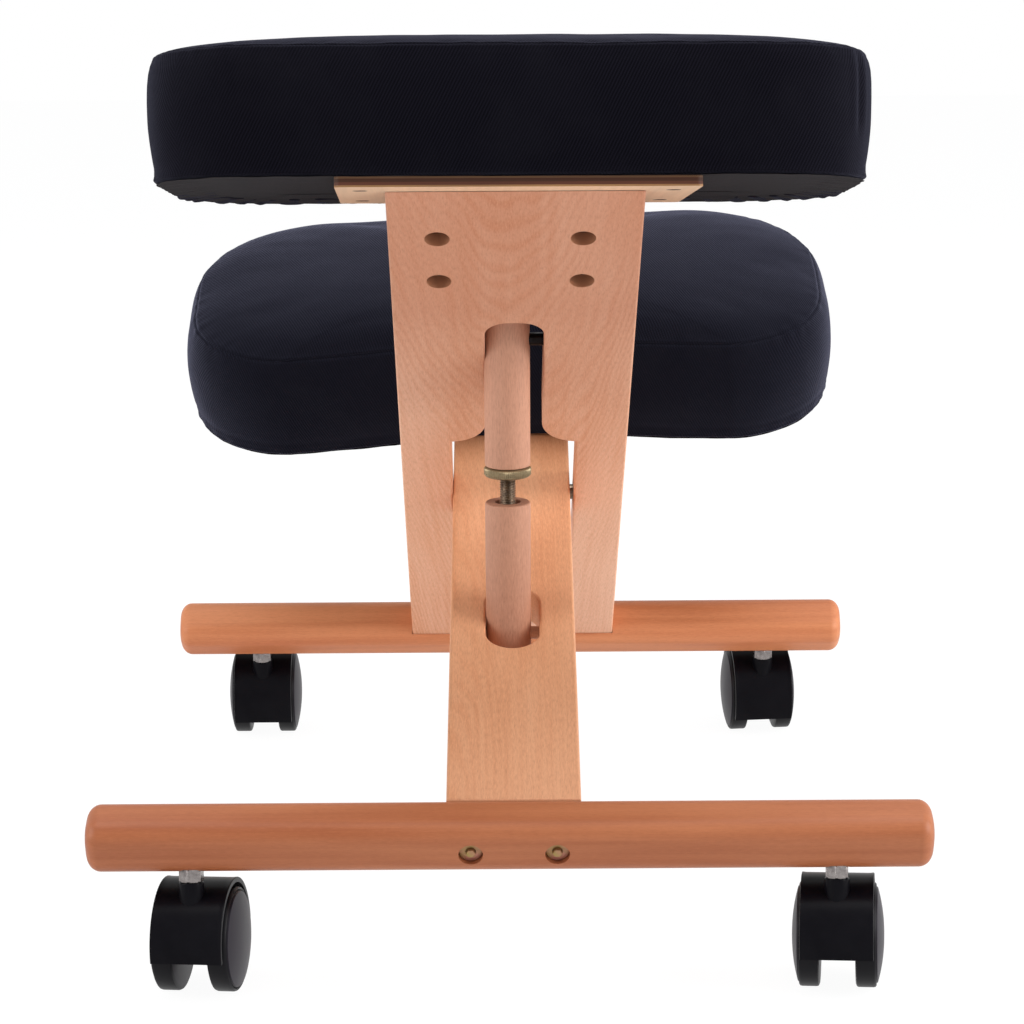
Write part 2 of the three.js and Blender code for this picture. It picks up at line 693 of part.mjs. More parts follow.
// Strut: heights are counted up the strut's line from the lower pin
const knobFoot = lowerStrutLength + screwGap;
const knobTop = knobFoot + wheelKnobHeight;
function strutSolid(bottom, top, roundBottom, roundTop) {
  return turned([
    [0, bottom], [strutRadius - roundBottom, bottom],
    [strutRadius - roundBottom * (1 - Math.SQRT1_2), bottom + roundBottom * (1 - Math.SQRT1_2)],
    [strutRadius, bottom + roundBottom], [strutRadius, top - roundTop],
    [strutRadius - roundTop * (1 - Math.SQRT1_2), top - roundTop * (1 - Math.SQRT1_2)],
    [strutRadius - roundTop, top], [0, top]], 24);
}
let lowerStrut = strutSolid(-lowerStrutTail, lowerStrutLength, strutEndRound, strutEase);
lowerStrut = lowerStrut.subtract(place(cylinder(lowerBoreRadius, lowerBoreDepth + overrun),
  shift(0, 0, lowerStrutLength - lowerBoreDepth)));
lowerStrut = lowerStrut.subtract(crossPin(pinRadius + fit, 2 * strutRadius + overrun, 16));
add('lower_strut', place(lowerStrut, strutFrame), paleBeech);
const insert = cylinder(lowerBoreRadius - fit, insertHeight).subtract(
  place(cylinder(rodRadius + insertPlay, insertHeight + 2 * overrun), shift(0, 0, -overrun)));
add('thread_insert', place(insert, strutFrame.clone().multiply(
  shift(0, 0, lowerStrutLength - insertTop - insertHeight))), steel, metal);

let upperStrut = strutSolid(knobTop + fit, strutLength + strutEnd, strutEase, strutEndRound);
upperStrut = upperStrut.subtract(place(cylinder(rodRadius + fit, rodAbove + fit + overrun),
  shift(0, 0, knobTop + fit - overrun)));
upperStrut = upperStrut.subtract(place(crossPin(pinRadius + fit, 2 * strutRadius + overrun, 16),
  shift(0, 0, strutLength)));
add('upper_strut', place(upperStrut, strutFrame), paleBeech);

// Knurled wheel: a toothed rim round the rod
const knurl = new THREE.Shape();
for (let i = 0; i < 2 * knurlCount; i += 1) {
  const radius = wheelKnobRadius - (i % 2) * knurlDepth;
  const angle = (i * Math.PI) / knurlCount;
  const [x, y] = [radius * Math.cos(angle), radius * Math.sin(angle)];
  if (i) knurl.lineTo(x, y);
  else knurl.moveTo(x, y);
}
knurl.closePath();
const knob = plank(knurl, wheelKnobHeight, knurlDepth).subtract(
  place(cylinder(rodRadius + fit, wheelKnobHeight + 2 * overrun), shift(0, 0, -wheelKnobHeight - overrun)));
add('adjusting_wheel', place(knob, strutFrame.clone().multiply(
  shift(0, 0, knobFoot + wheelKnobHeight / 2))), brass, metal);
add('threaded_rod', place(cylinder(rodRadius, rodBelow + wheelKnobHeight + rodAbove),
  strutFrame.clone().multiply(shift(0, 0, knobFoot - rodBelow))), steel, metal);

// Casters
casters.forEach(({ name }, i) => {
  const frame = casterFrames[i];
  add(`${name}_stem`, place(casterStem(), frame), zinc, metal);
  add(`${name}_hood`, place(casterHood(), frame), nylon);
  add(`${name}_axle`, place(crossPin(casterAxleRadius, wheelGap + 2 * (wheelBite - fit)), frame), steel, metal);
  add(`${name}_wheel_left`, place(casterWheel(-1, frame), frame), nylon);
  add(`${name}_wheel_right`, place(casterWheel(1, frame), frame), nylon);
});

// The origin is under the middle of the whole, on the floor
const bounds = new THREE.Box3().setFromObject(group);
for (const mesh of group.children) {
  mesh.geometry.translate(0, -(bounds.min.y + bounds.max.y) / 2, -bounds.min.z);
}

export default group;
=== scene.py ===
"""Looks of a kneeling chair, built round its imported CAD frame.

The row frame is in metres, and the local mesh of each piece is in millimetres.
"""
import math

import bmesh
import bpy
import numpy as np
from mathutils import Matrix, Vector, noise
from mathutils.bvhtree import BVHTree


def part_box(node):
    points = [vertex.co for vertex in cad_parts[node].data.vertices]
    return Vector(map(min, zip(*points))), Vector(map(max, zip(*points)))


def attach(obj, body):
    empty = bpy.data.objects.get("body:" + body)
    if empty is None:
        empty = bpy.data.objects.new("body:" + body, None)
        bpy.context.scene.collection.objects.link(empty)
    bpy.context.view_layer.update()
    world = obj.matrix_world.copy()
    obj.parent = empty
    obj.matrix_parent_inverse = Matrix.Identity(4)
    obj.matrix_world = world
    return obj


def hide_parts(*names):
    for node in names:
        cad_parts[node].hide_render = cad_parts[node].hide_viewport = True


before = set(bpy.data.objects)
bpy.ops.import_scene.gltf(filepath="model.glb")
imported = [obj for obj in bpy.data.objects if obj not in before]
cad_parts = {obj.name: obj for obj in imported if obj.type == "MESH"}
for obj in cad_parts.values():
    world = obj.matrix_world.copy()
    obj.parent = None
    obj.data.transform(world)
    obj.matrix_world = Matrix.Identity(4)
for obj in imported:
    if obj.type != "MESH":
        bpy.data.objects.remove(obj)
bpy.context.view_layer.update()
scene = bpy.context.scene
MM = 0.001
DEG = math.pi / 180

# The stance, from the same sizes as the CAD
FIT = 0.3
ACROSS = Vector((1, 0, 0))
STEM_TILT = 10.7 * DEG
STEM_DROP, STEM_TRAIL, WHEEL_R = 61, 20, 30
PIVOT_HEIGHT, SEAT_RUN, KNEE_RUN = 222, 210, 352
rear_height = WHEEL_R + STEM_DROP * math.cos(STEM_TILT) + STEM_TRAIL * math.sin(STEM_TILT)
front_height = WHEEL_R + STEM_DROP * math.cos(STEM_TILT) - STEM_TRAIL * math.sin(STEM_TILT)
SEAT_SLOPE = math.asin((PIVOT_HEIGHT - front_height) / SEAT_RUN)
KNEE_SLOPE = math.asin((PIVOT_HEIGHT - rear_height) / KNEE_RUN)
SEAT_RISE = Vector((0, -math.cos(SEAT_SLOPE), math.sin(SEAT_SLOPE)))
KNEE_RISE = Vector((0, math.cos(KNEE_SLOPE), math.sin(KNEE_SLOPE)))
BEAM_UNDER = ACROSS.cross(SEAT_RISE)
KNEE_TOP = ACROSS.cross(KNEE_RISE)
axle_low, axle_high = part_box("pivot_axle")
PIVOT = (axle_low + axle_high) / 2 / MM
BEAM_THICK, BAR, BAR_LENGTH, BOARD_THICK, PLATE_THICK = 24, 34, 480, 12, 6.2
BAR_GAP = BAR / 2 + FIT
CASTER_ASIDE = BAR_LENGTH / 2 - 56.5
UPPER_PIN_RUN, LOWER_PIN_RUN, SEAT_TOP_RUN = 198, -158, 376
# Between the two bolts of a bar, how deep their washers sit, and the place of the plate's screws
REAR_BOLTS, FRONT_BOLTS, BOLT_SINK = 49, 112, 5
SCREW_ASIDE, SCREW_DROPS, SINK_DEPTH = 41.5, (48, 93), 12
# Radii of the bores, each with its clearance
AXLE_BORE, PIN_BORE, BOLT_BORE, SCREW_BORE = 5.3, 4.3, 3.1, 3.3
# How far the camera's side of the plate and of the seat stand over what carries them
PLATE_OVER, SEAT_OVER, PAD_START = 36, 34, 31.5
STRUT_ASIDE = -2.4
SEAT_TILT, PAD_TILT, BEAM_LEAN, PLATE_YAW = 10 * DEG, -2.1 * DEG, 0.3 * DEG, 1.9 * DEG


def frame_at(origin, x, y):
    m = Matrix((x, y, x.cross(y))).transposed().to_4x4()
    m.translation = origin
    return m


def axis_frame(origin, direction):
    return frame_at(origin, ACROSS, direction.cross(ACROSS))


def along(direction, run):
    return PIVOT + direction * run


seat_frame = frame_at(PIVOT, ACROSS, SEAT_RISE)
knee_frame = frame_at(PIVOT, ACROSS, KNEE_RISE)
SEAT_BACK = Vector((0, math.cos(SEAT_TILT), -math.sin(SEAT_TILT)))
SEAT_UP = Vector((0, math.sin(SEAT_TILT), math.cos(SEAT_TILT)))
# How far the side is drawn in at each share of its height
SEAT_DRAW = [(0.0, 5.0), (0.1, 3.8), (0.2, 2.4), (0.3, 1.1), (0.4, 0.3), (0.5, 0.0), (0.64, 0.0),
             (0.75, 0.2), (0.84, 0.7), (0.91, 1.7), (0.96, 3.0), (1.0, 4.7)]
PAD_DRAW = [(0.0, 5.0), (0.06, 3.4), (0.14, 2.0), (0.26, 0.8), (0.38, 0.15), (0.5, 0.0), (0.62, 0.2),
            (0.74, 0.8), (0.84, 1.9), (0.92, 3.2), (0.97, 4.4), (1.0, 5.4)]
SEAT_SIZE = dict(width=404, depth=262, near=75, far=70, edge=69.5, crown=6.5, dip=0, dip_width=400,
                 draw=SEAT_DRAW, lean=0, bulge=10, creases=[(191, -93, 18, 70, 1.3)])
PAD_SIZE = dict(width=446, depth=195.5, near=76, far=82, edge=72, crown=17.5, dip=14, dip_width=330,
                draw=PAD_DRAW, lean=3, bulge=8, creases=[])
PLAN = ("width", "depth", "near", "far", "dip", "dip_width")
plate_edge = (along(SEAT_RISE, SEAT_TOP_RUN) + BEAM_UNDER * BEAM_THICK / 2
              - SEAT_BACK * PLATE_OVER + SEAT_UP * FIT)
plate_frame = frame_at(plate_edge, ACROSS, SEAT_BACK)
cushion_frame = frame_at(plate_edge + SEAT_UP * (PLATE_THICK + FIT)
                         + SEAT_BACK * (SEAT_SIZE["depth"] / 2 - SEAT_OVER), ACROSS, SEAT_BACK)
pad_frame = knee_frame.copy()
pad_frame.translation = (along(KNEE_RISE, PAD_START + PAD_SIZE["depth"] / 2)
                         + KNEE_TOP * (BEAM_THICK / 2 + FIT))
upper_pin = along(SEAT_RISE, UPPER_PIN_RUN)
lower_pin = along(KNEE_RISE, LOWER_PIN_RUN)
strut_line = (upper_pin - lower_pin).normalized()
STRUT_LENGTH = (upper_pin - lower_pin).length
strut_frame = axis_frame(Vector((STRUT_ASIDE, lower_pin.y, lower_pin.z)), strut_line)
rear_bar = along(KNEE_RISE, -KNEE_RUN)
front_bar = along(SEAT_RISE, -SEAT_RUN)


def at(matrix, origin):
    m = matrix.copy()
    m.translation = origin
    return m


def shift(x, y, z):
    return Matrix.Translation((x, y, z))


def unit(value):
    """A value held between 0 and 1."""
    return min(1.0, max(0.0, value))


def bell(value, width):
    return math.exp(-(value / width) ** 2)


# Mesh helpers
def new_object(name, verts, faces):
    mesh = bpy.data.meshes.new(name)
    mesh.from_pydata([tuple(v) for v in verts], [], [tuple(f) for f in faces])
    mesh.update()
    obj = bpy.data.objects.new(name, mesh)
    scene.collection.objects.link(obj)
    return obj


def face_out(obj, weld=True):
    """Turns the faces outward, once points that coincide are one."""
    bm = bmesh.new()
    bm.from_mesh(obj.data)
    if weld:
        bmesh.ops.remove_doubles(bm, verts=bm.verts, dist=1e-4)
    bmesh.ops.recalc_face_normals(bm, faces=bm.faces)
    bm.to_mesh(obj.data)
    bm.free()
    return obj


def loft(rings, closed_path=False, caps=True):
    """Vertices and faces of a skin through rings that all have the same count."""
    n = len(rings[0])
    verts = [p for ring in rings for p in ring]
    faces = []
    last = len(rings) if closed_path else len(rings) - 1
    for r in range(last):
        a, b = r * n, ((r + 1) % len(rings)) * n
        faces += [(a + i, a + (i + 1) % n, b + (i + 1) % n, b + i) for i in range(n)]
    if caps and not closed_path:
        faces.append(tuple(reversed(range(n))))
        faces.append(tuple(range((len(rings) - 1) * n, len(rings) * n)))
    return verts, faces

def joined(*parts):
    """One list of vertices and one of faces, from several of each."""
    verts, faces = [], []
    for more_verts, more_faces in parts:
        faces += [tuple(len(verts) + i for i in face) for face in more_faces]
        verts += more_verts
    return verts, faces


def circle(radius, z, count):
    return [(radius * math.cos(2 * math.pi * i / count),
             radius * math.sin(2 * math.pi * i / count), z) for i in range(count)]


def lathe(profile, segments=48, closed_path=False):
    """Turns (radius, height) round Z. A zero radius closes the end in a point."""
    return loft([circle(r, h, segments) for r, h in profile], closed_path, caps=False)


def rounded(profile, radii, steps=4):
    """A path with some corners rounded: radii is {index: radius}."""
    out = []
    for i, p in enumerate(profile):
        if i not in radii:
            out.append(p)
            continue
        p = Vector(p)
        a, b = Vector(profile[i - 1]) - p, Vector(profile[(i + 1) % len(profile)]) - p
        cut = min(radii[i], a.length * 0.49, b.length * 0.49)
        a, b = p + a.normalized() * cut, p + b.normalized() * cut
        for s in range(steps + 1):
            t = s / steps
            q = a * (1 - t) ** 2 + p * 2 * t * (1 - t) + b * t ** 2
            out.append((q.x, q.y))
    return out


def cylinder(radius, length, segments=40, z0=0.0):
    return loft([circle(radius, z, segments) for z in (z0, z0 + length)])


def pin_tool(radius, length):
    return cylinder(radius, length, 32, -length / 2)


def block(low, high):
    """A box between two corners."""
    corners = ((low[0], low[1]), (high[0], low[1]), (high[0], high[1]), (low[0], high[1]))
    return loft([[(x, y, z) for x, y in corners] for z in (low[2], high[2])])


def plank(name, outline, holes, thickness, ease, segments=3):
    """A plank from an outline and holes in XY, eased all round, made by a filled curve."""
    curve = bpy.data.curves.new(name, "CURVE")
    curve.dimensions = "2D"
    curve.fill_mode = "BOTH"
    for loop in [outline, *holes]:
        spline = curve.splines.new("POLY")
        spline.points.add(len(loop) - 1)
        for point, (x, y) in zip(spline.points, loop):
            point.co = (x, y, 0, 1)
        spline.use_cyclic_u = True
    curve.extrude = thickness / 2 - ease
    curve.bevel_depth = ease
    curve.bevel_resolution = segments
    curve.offset = -ease
    holder = bpy.data.objects.new(name + "_curve", curve)
    scene.collection.objects.link(holder)
    graph = bpy.context.evaluated_depsgraph_get()
    mesh = bpy.data.meshes.new_from_object(holder.evaluated_get(graph))
    bpy.data.objects.remove(holder)
    obj = bpy.data.objects.new(name, mesh)
    scene.collection.objects.link(obj)
    return face_out(obj)


def arc(cx, cy, rx, ry, start, end, steps):
    return [(cx + rx * math.cos(start + (end - start) * i / steps),
             cy + ry * math.sin(start + (end - start) * i / steps)) for i in range(steps + 1)]


def rounded_rect(left, bottom, width, height, radius, steps=8):
    right, top, quarter = left + width, bottom + height, math.pi / 2
    return (arc(right - radius, bottom + radius, radius, radius, -quarter, 0, steps)
            + arc(right - radius, top - radius, radius, radius, 0, quarter, steps)
            + arc(left + radius, top - radius, radius, radius, quarter, 2 * quarter, steps)
            + arc(left + radius, bottom + radius, radius, radius, 2 * quarter, 3 * quarter, steps))


def boolean(obj, tool, matrix, operation="DIFFERENCE"):
    """Cuts obj, or joins to it, with the tool's (verts, faces) set in place by a local matrix."""
    verts, faces = tool
    other = face_out(new_object("tool", [matrix @ Vector(v) for v in verts], faces))
    mod = obj.modifiers.new("cut", "BOOLEAN")
    mod.operation, mod.object, mod.solver = operation, other, "EXACT"
    graph = bpy.context.evaluated_depsgraph_get()
    mesh = bpy.data.meshes.new_from_object(obj.evaluated_get(graph))
    obj.modifiers.clear()
    old = obj.data
    obj.data = mesh
    bpy.data.meshes.remove(old)
    bpy.data.objects.remove(other)


def finish_piece(obj, matrix, body, material, replaced=(), angle=32, weighted=True):
    """Scales a millimetre mesh, sets it in place, shades it and ties it to its body."""
    obj.data.transform(Matrix.Scale(MM, 4))
    m = matrix.copy()
    m.translation = m.translation * MM
    obj.matrix_world = m
    obj.data.materials.clear()
    obj.data.materials.append(material)
    obj.data.polygons.foreach_set("use_smooth", [True] * len(obj.data.polygons))
    if angle:
        obj.data.set_sharp_from_angle(angle=angle * DEG)
    if weighted:
        mod = obj.modifiers.new("normals", "WEIGHTED_NORMAL")
        mod.keep_sharp = True
    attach(obj, body)
    if replaced:
        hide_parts(*replaced)
    return obj


# Materials
class Nodes:
    """A short way to write the node tree of a material or a world."""

    def __init__(self, owner, output="ShaderNodeOutputMaterial"):
        owner.use_nodes = True
        self.owner = owner
        self.tree = owner.node_tree
        self.tree.nodes.clear()
        self.out = self.add(output)

    def add(self, kind, **settings):
        node = self.tree.nodes.new(kind)
        for key, value in settings.items():
            setattr(node, key, value)
        return node

    def link(self, source, target):
        self.tree.links.new(source, target)

    def put(self, target, value):
        if isinstance(value, bpy.types.NodeSocket):
            self.link(value, target)
        else:
            target.default_value = value

    def math(self, operation, a, b=0.0, c=0.0, clamp=False):
        node = self.add("ShaderNodeMath", operation=operation, use_clamp=clamp)
        for socket, value in zip(node.inputs, (a, b, c)):
            self.put(socket, value)
        return node.outputs[0]

    def times(self, a, b):
        return self.math("MULTIPLY", a, b)

    def plus(self, a, b):
        return self.math("ADD", a, b)

    def length(self, a, b):
        """The length of the flat vector (a, b)."""
        return self.math("SQRT", self.math("MULTIPLY_ADD", a, a, self.times(b, b)))

    def split(self, vector):
        node = self.add("ShaderNodeSeparateXYZ")
        self.link(vector, node.inputs[0])
        return node.outputs

    def object_coords(self, name="Object"):
        return self.add("ShaderNodeTexCoord").outputs[name]

    def turned_normal(self, rotation):
        """X, Y and Z of the object's own normal, in a turned frame."""
        node = self.add("ShaderNodeVectorRotate", rotation_type="EULER_XYZ")
        node.inputs["Rotation"].default_value = rotation
        self.link(self.object_coords("Normal"), node.inputs["Vector"])
        return self.split(node.outputs[0])

    def from_bore(self, place, x, y):
        """How far a place is from the nearer of two bores, one on each side of the middle."""
        return self.length(self.math("SUBTRACT", self.math("ABSOLUTE", place[0]), x),
                           self.math("SUBTRACT", place[1], y))

    def coords(self, location=(0, 0, 0), rotation=(0, 0, 0), scale=(1, 1, 1), source=None):
        mapping = self.add("ShaderNodeMapping")
        for key, value in (("Location", location), ("Rotation", rotation), ("Scale", scale)):
            mapping.inputs[key].default_value = value
        self.link(self.object_coords() if source is None else source, mapping.inputs["Vector"])
        return mapping.outputs[0]

    def noise(self, vector, scale, detail=3.0, roughness=0.55, output="Fac"):
        node = self.add("ShaderNodeTexNoise")
        self.link(vector, node.inputs["Vector"])
        for key, value in (("Scale", scale), ("Detail", detail), ("Roughness", roughness)):
            node.inputs[key].default_value = value
        return node.outputs[output]

    def ramp(self, value, stops):
        node = self.add("ShaderNodeValToRGB")
        self.put(node.inputs[0], value)
        elements = node.color_ramp.elements
        while len(elements) < len(stops):
            elements.new(0.5)
        for element, (position, colour) in zip(elements, stops):
            element.position = position
            element.color = colour if len(colour) == 4 else (*colour, 1)
        return node.outputs[0]

    def mix(self, factor, a, b, blend="MIX"):
        node = self.add("ShaderNodeMix", data_type="RGBA", blend_type=blend)
        self.put(node.inputs["Factor"], factor)
        for key, value in (("A", a), ("B", b)):
            socket = [s for s in node.inputs if s.name == key and s.type == "RGBA"][0]
            self.put(socket, value)
        return [s for s in node.outputs if s.type == "RGBA"][0]

    def range(self, value, from_low, from_high, to_low=0.0, to_high=1.0):
        node = self.add("ShaderNodeMapRange")
        for key, v in (("Value", value), ("From Min", from_low), ("From Max", from_high),
                       ("To Min", to_low), ("To Max", to_high)):
            self.put(node.inputs[key], v)
        return node.outputs[0]

    def bump(self, height, distance, strength=1.0, normal=None):
        node = self.add("ShaderNodeBump")
        node.inputs["Strength"].default_value = strength
        node.inputs["Distance"].default_value = distance
        self.link(height, node.inputs["Height"])
        if normal is not None:
            self.link(normal, node.inputs["Normal"])
        return node.outputs[0]

    def blend(self, factor, a, b):
        """A mix of two shaders."""
        node = self.add("ShaderNodeMixShader")
        self.put(node.inputs[0], factor)
        self.link(a.outputs[0], node.inputs[1])
        self.link(b.outputs[0], node.inputs[2])
        return node

    def white_rays(self):
        """1 for camera, glossy and transmission rays, which all see the white surroundings."""
        rays = self.add("ShaderNodeLightPath").outputs
        return self.math("MAXIMUM", rays["Is Camera Ray"],
                         self.math("MAXIMUM", rays["Is Glossy Ray"], rays["Is Transmission Ray"]))


class Surface(Nodes):
    """A material with one shader."""

    def __init__(self, name):
        super().__init__(bpy.data.materials.new(name))
        self.shader = self.add("ShaderNodeBsdfPrincipled")
        self.link(self.shader.outputs[0], self.out.inputs[0])

    def set(self, **values):
        for key, value in values.items():
            self.put(self.shader.inputs[key.replace("_", " ")], value)


def srgb(r, g, b):
    linear = lambda v: (v / 255 / 12.92 if v <= 10.31 else ((v / 255 + 0.055) / 1.055) ** 2.4)
    return (linear(r), linear(g), linear(b), 1)

def scaled(colour, gain, more=0.0):
    """A colour made darker or lighter."""
    return tuple(min(1.0, v * gain + more) for v in colour[:3]) + (1,)


def wood(name, pale, deep, rotation=(0, 0, 0), centre=(0.02, 0.09), seed=0.0, gloss=0.5, arcs=-0.5,
         fan=0.0, shaded_bores=(), fleck=1.0, coat=0.04, painted_shade=(), rings=3200.0, ringed=0.25, streaked=0.2):
    """Beech with its grain along the mapped Y: soft zones, faint cathedral rings, dense short flecks."""
    n = Surface(name)
    base = n.coords(rotation=rotation)
    place = n.split(base)
    x, y, z = place
    if fan:
        x = n.math("DIVIDE", x, n.math("MULTIPLY_ADD", n.math("MAXIMUM", y, -0.1), fan, 1.0))
        join = n.add("ShaderNodeCombineXYZ")
        for source, socket in zip((x, y, z), join.inputs):
            n.link(source, socket)
        base = join.outputs[0]

    def grain(across, lengthwise, roughness):
        moved = (seed, seed * 1.7, seed * 0.6)
        return n.noise(n.coords(moved, scale=(across, lengthwise, across), source=base), 1.0, 2.0, roughness)

    zone, warp = grain(16, 3, 0.6), grain(34, 9, 0.5)
    streak, short = grain(260, 6, 0.6), grain(1500, 210, 0.7)
    # Rings round a pith behind the surface, which wanders and tapers along the grain
    across = n.math("MULTIPLY_ADD", zone, 0.03, n.plus(x, centre[0]))
    deep_in = n.math("MULTIPLY_ADD", y, arcs * 0.12, n.plus(z, centre[1]))
    radius = n.math("MULTIPLY_ADD", warp, 0.006, n.length(across, deep_in))
    ring = n.math("SINE", n.times(radius, rings))
    ring = n.times(n.range(ring, -0.4, 1.0, 0.5, -0.5), n.range(warp, 0.3, 0.65, 1.0, 0.25))
    tone = n.math("MULTIPLY_ADD", ring, ringed, n.range(zone, 0.3, 0.7, 0.12, 0.88))
    tone = n.plus(tone, n.range(streak, 0.25, 0.75, -streaked, streaked))
    colour = n.mix(tone, deep, pale)
    dark = scaled(deep, 0.62)
    colour = n.mix(n.range(short, 0.5, 0.78, 0.0, 0.42 * fleck), colour, dark)
    colour = n.mix(n.range(short, 0.46, 0.24, 0.0, 0.45 * fleck), colour, scaled(pale, 1.16))
    if painted_shade:
        # Painted shade: the board is darker and redder towards its top end, which lies in shade under what it
        # carries
        low, high, stops = painted_shade
        colour = n.mix(1.0, colour, n.ramp(n.range(place[1], low, high), stops), "MULTIPLY")
    # End grain is darker; the walls of the sunk holes are darkened as painted shade
    shade = n.range(n.math("ABSOLUTE", n.turned_normal(rotation)[1]), 0.75, 0.98, 0.0, 0.3)
    for bore_x, bore_y, bore_r in shaded_bores:
        near = n.range(n.from_bore(place, bore_x, bore_y), bore_r, bore_r + 0.00015, 0.95, 0.0)
        shade = n.math("MAXIMUM", shade, near)
    n.set(Base_Color=n.mix(shade, colour, dark), Roughness=n.range(streak, 0.3, 0.7, gloss, gloss + 0.08),
          Coat_Weight=coat, Coat_Roughness=0.4, IOR=1.5, Specular_IOR_Level=0.22)
    n.set(Normal=n.bump(short, 0.00005, 0.5))
    return n.owner


def metal(name, colour, dark, roughness=0.3, scale=1.0, metallic=1.0):
    """Plated steel: a slightly uneven plating, duller where it is worn."""
    n = Surface(name)
    base = n.coords(scale=(scale,) * 3)
    cloud = n.noise(base, 220.0, 4.0, 0.6)
    n.set(Base_Color=n.mix(n.range(cloud, 0.35, 0.7), colour, dark), Metallic=metallic,
          Roughness=n.range(cloud, 0.3, 0.7, roughness * 0.75, roughness * 1.3))
    n.set(Normal=n.bump(n.noise(base, 1500.0, 3.0, 0.6), 0.00002, 0.5))
    return n.owner


def plastic(name, colour, roughness, shine, tread=None):
    """Moulded nylon: a faint moulding texture, handling marks in the gloss, and a wheel's darker tread."""
    n = Surface(name)
    base = n.coords()
    cloud = n.noise(base, 60.0, 4.0, 0.6)
    tone = n.mix(n.range(cloud, 0.35, 0.7), colour, scaled(colour, 1.15, 0.0015))
    if tread:
        x, y, _ = n.split(base)
        tone = n.mix(n.range(n.length(x, y), 0.0272, 0.0278), tone, tread)
    n.set(Base_Color=tone, Roughness=n.range(cloud, 0.3, 0.7, roughness * 0.95, roughness * 1.07),
          IOR=1.5, Specular_IOR_Level=shine)
    n.set(Normal=n.bump(n.noise(base, 2600.0, 2.0, 0.5), 0.00002, 0.6))
    return n.owner


def twill(name, colour, rise, seed=0.0, lift=1.0):
    """Wool twill: fine steep ribs, rising to the right (rise 1) or to the left (-1)."""
    n = Surface(name)
    offset = n.add("ShaderNodeVectorMath", operation="MULTIPLY_ADD")
    n.link(n.noise(n.object_coords(), 90.0, 2.0, 0.5, "Color"), offset.inputs[0])
    offset.inputs[1].default_value = (0.0006,) * 3
    n.link(n.object_coords(), offset.inputs[2])
    x, y, z = n.split(offset.outputs[0])
    ax, ay, az = (n.math("ABSOLUTE", s) for s in n.split(n.object_coords("Normal")))
    pitch = 2 * math.pi / 0.0018

    def ribs(u, v, sign):
        phase = n.times(n.math("MULTIPLY_ADD", v, 0.5, n.times(u, -sign)), pitch)
        rib = n.math("MULTIPLY_ADD", n.math("SINE", phase), 0.5, 0.5)
        cross = n.times(n.plus(n.times(u, sign), v), pitch * 1.2)
        yarn = n.math("SINE", n.plus(cross, n.times(phase, 0.5)))
        yarn = n.math("MULTIPLY_ADD", yarn, 0.5, 0.5)
        return n.plus(n.times(n.math("POWER", rib, 0.7), 0.78), n.times(yarn, 0.22))

    def either(share, a, b):
        """a where the share is 1, b where it is 0."""
        return n.plus(n.times(a, share), n.times(b, n.math("SUBTRACT", 1.0, share)))

    is_top = n.range(n.math("SUBTRACT", az, n.math("MAXIMUM", ax, ay)), -0.04, 0.04)
    is_end = n.range(n.math("SUBTRACT", ax, ay), -0.04, 0.04)
    rib = either(is_top, ribs(x, y, rise), either(is_end, ribs(y, z, rise), ribs(x, z, rise)))
    base = n.coords(location=(seed,) * 3)
    fuzz = n.noise(base, 2400.0, 3.0, 0.7)
    # The ribs' tone: the weave's own stripes, with the grooves darkened as painted shade and the crests
    # lightened as painted sheen
    shade = n.plus(n.times(rib, 0.72), n.times(fuzz, 0.3))
    tone = n.mix(n.range(shade, 0.1, 0.95), scaled(colour, 0.1), scaled(colour, 2.4))
    blotch = n.range(n.noise(base, 26.0, 4.0, 0.6), 0.45, 0.8, 0.0, 0.35)
    n.set(Base_Color=n.mix(blotch, tone, scaled(colour, 1.6, 0.004)), Roughness=0.93,
          Sheen_Roughness=0.4, Sheen_Weight=0.32 * lift, Sheen_Tint=(0.56, 0.57, 0.8, 1),
          Specular_IOR_Level=0.02)
    n.set(Normal=n.bump(n.plus(rib, n.times(fuzz, 0.35)), 0.00022, 0.75))
    return n.owner


def lining(name, colour):
    """Thin dark dust cloth: a fine plain weave, dusty in places."""
    n = Surface(name)
    x, y, _ = n.split(n.coords())
    warp, weft = (n.math("SINE", n.times(side, 9000.0)) for side in (x, y))
    dust = n.range(n.noise(n.coords(scale=(1, 4, 1)), 30.0, 5.0, 0.65), 0.4, 0.85, 0.0, 0.5)
    n.set(Base_Color=n.mix(dust, colour, scaled(colour, 2.3, 0.01)), Roughness=0.9, Specular_IOR_Level=0.2)
    folds = n.bump(n.noise(n.coords(scale=(1, 5, 1)), 60.0, 4.0), 0.0012, 0.7)
    n.set(Normal=n.bump(n.plus(warp, weft), 0.00004, 0.4, folds))
    return n.owner


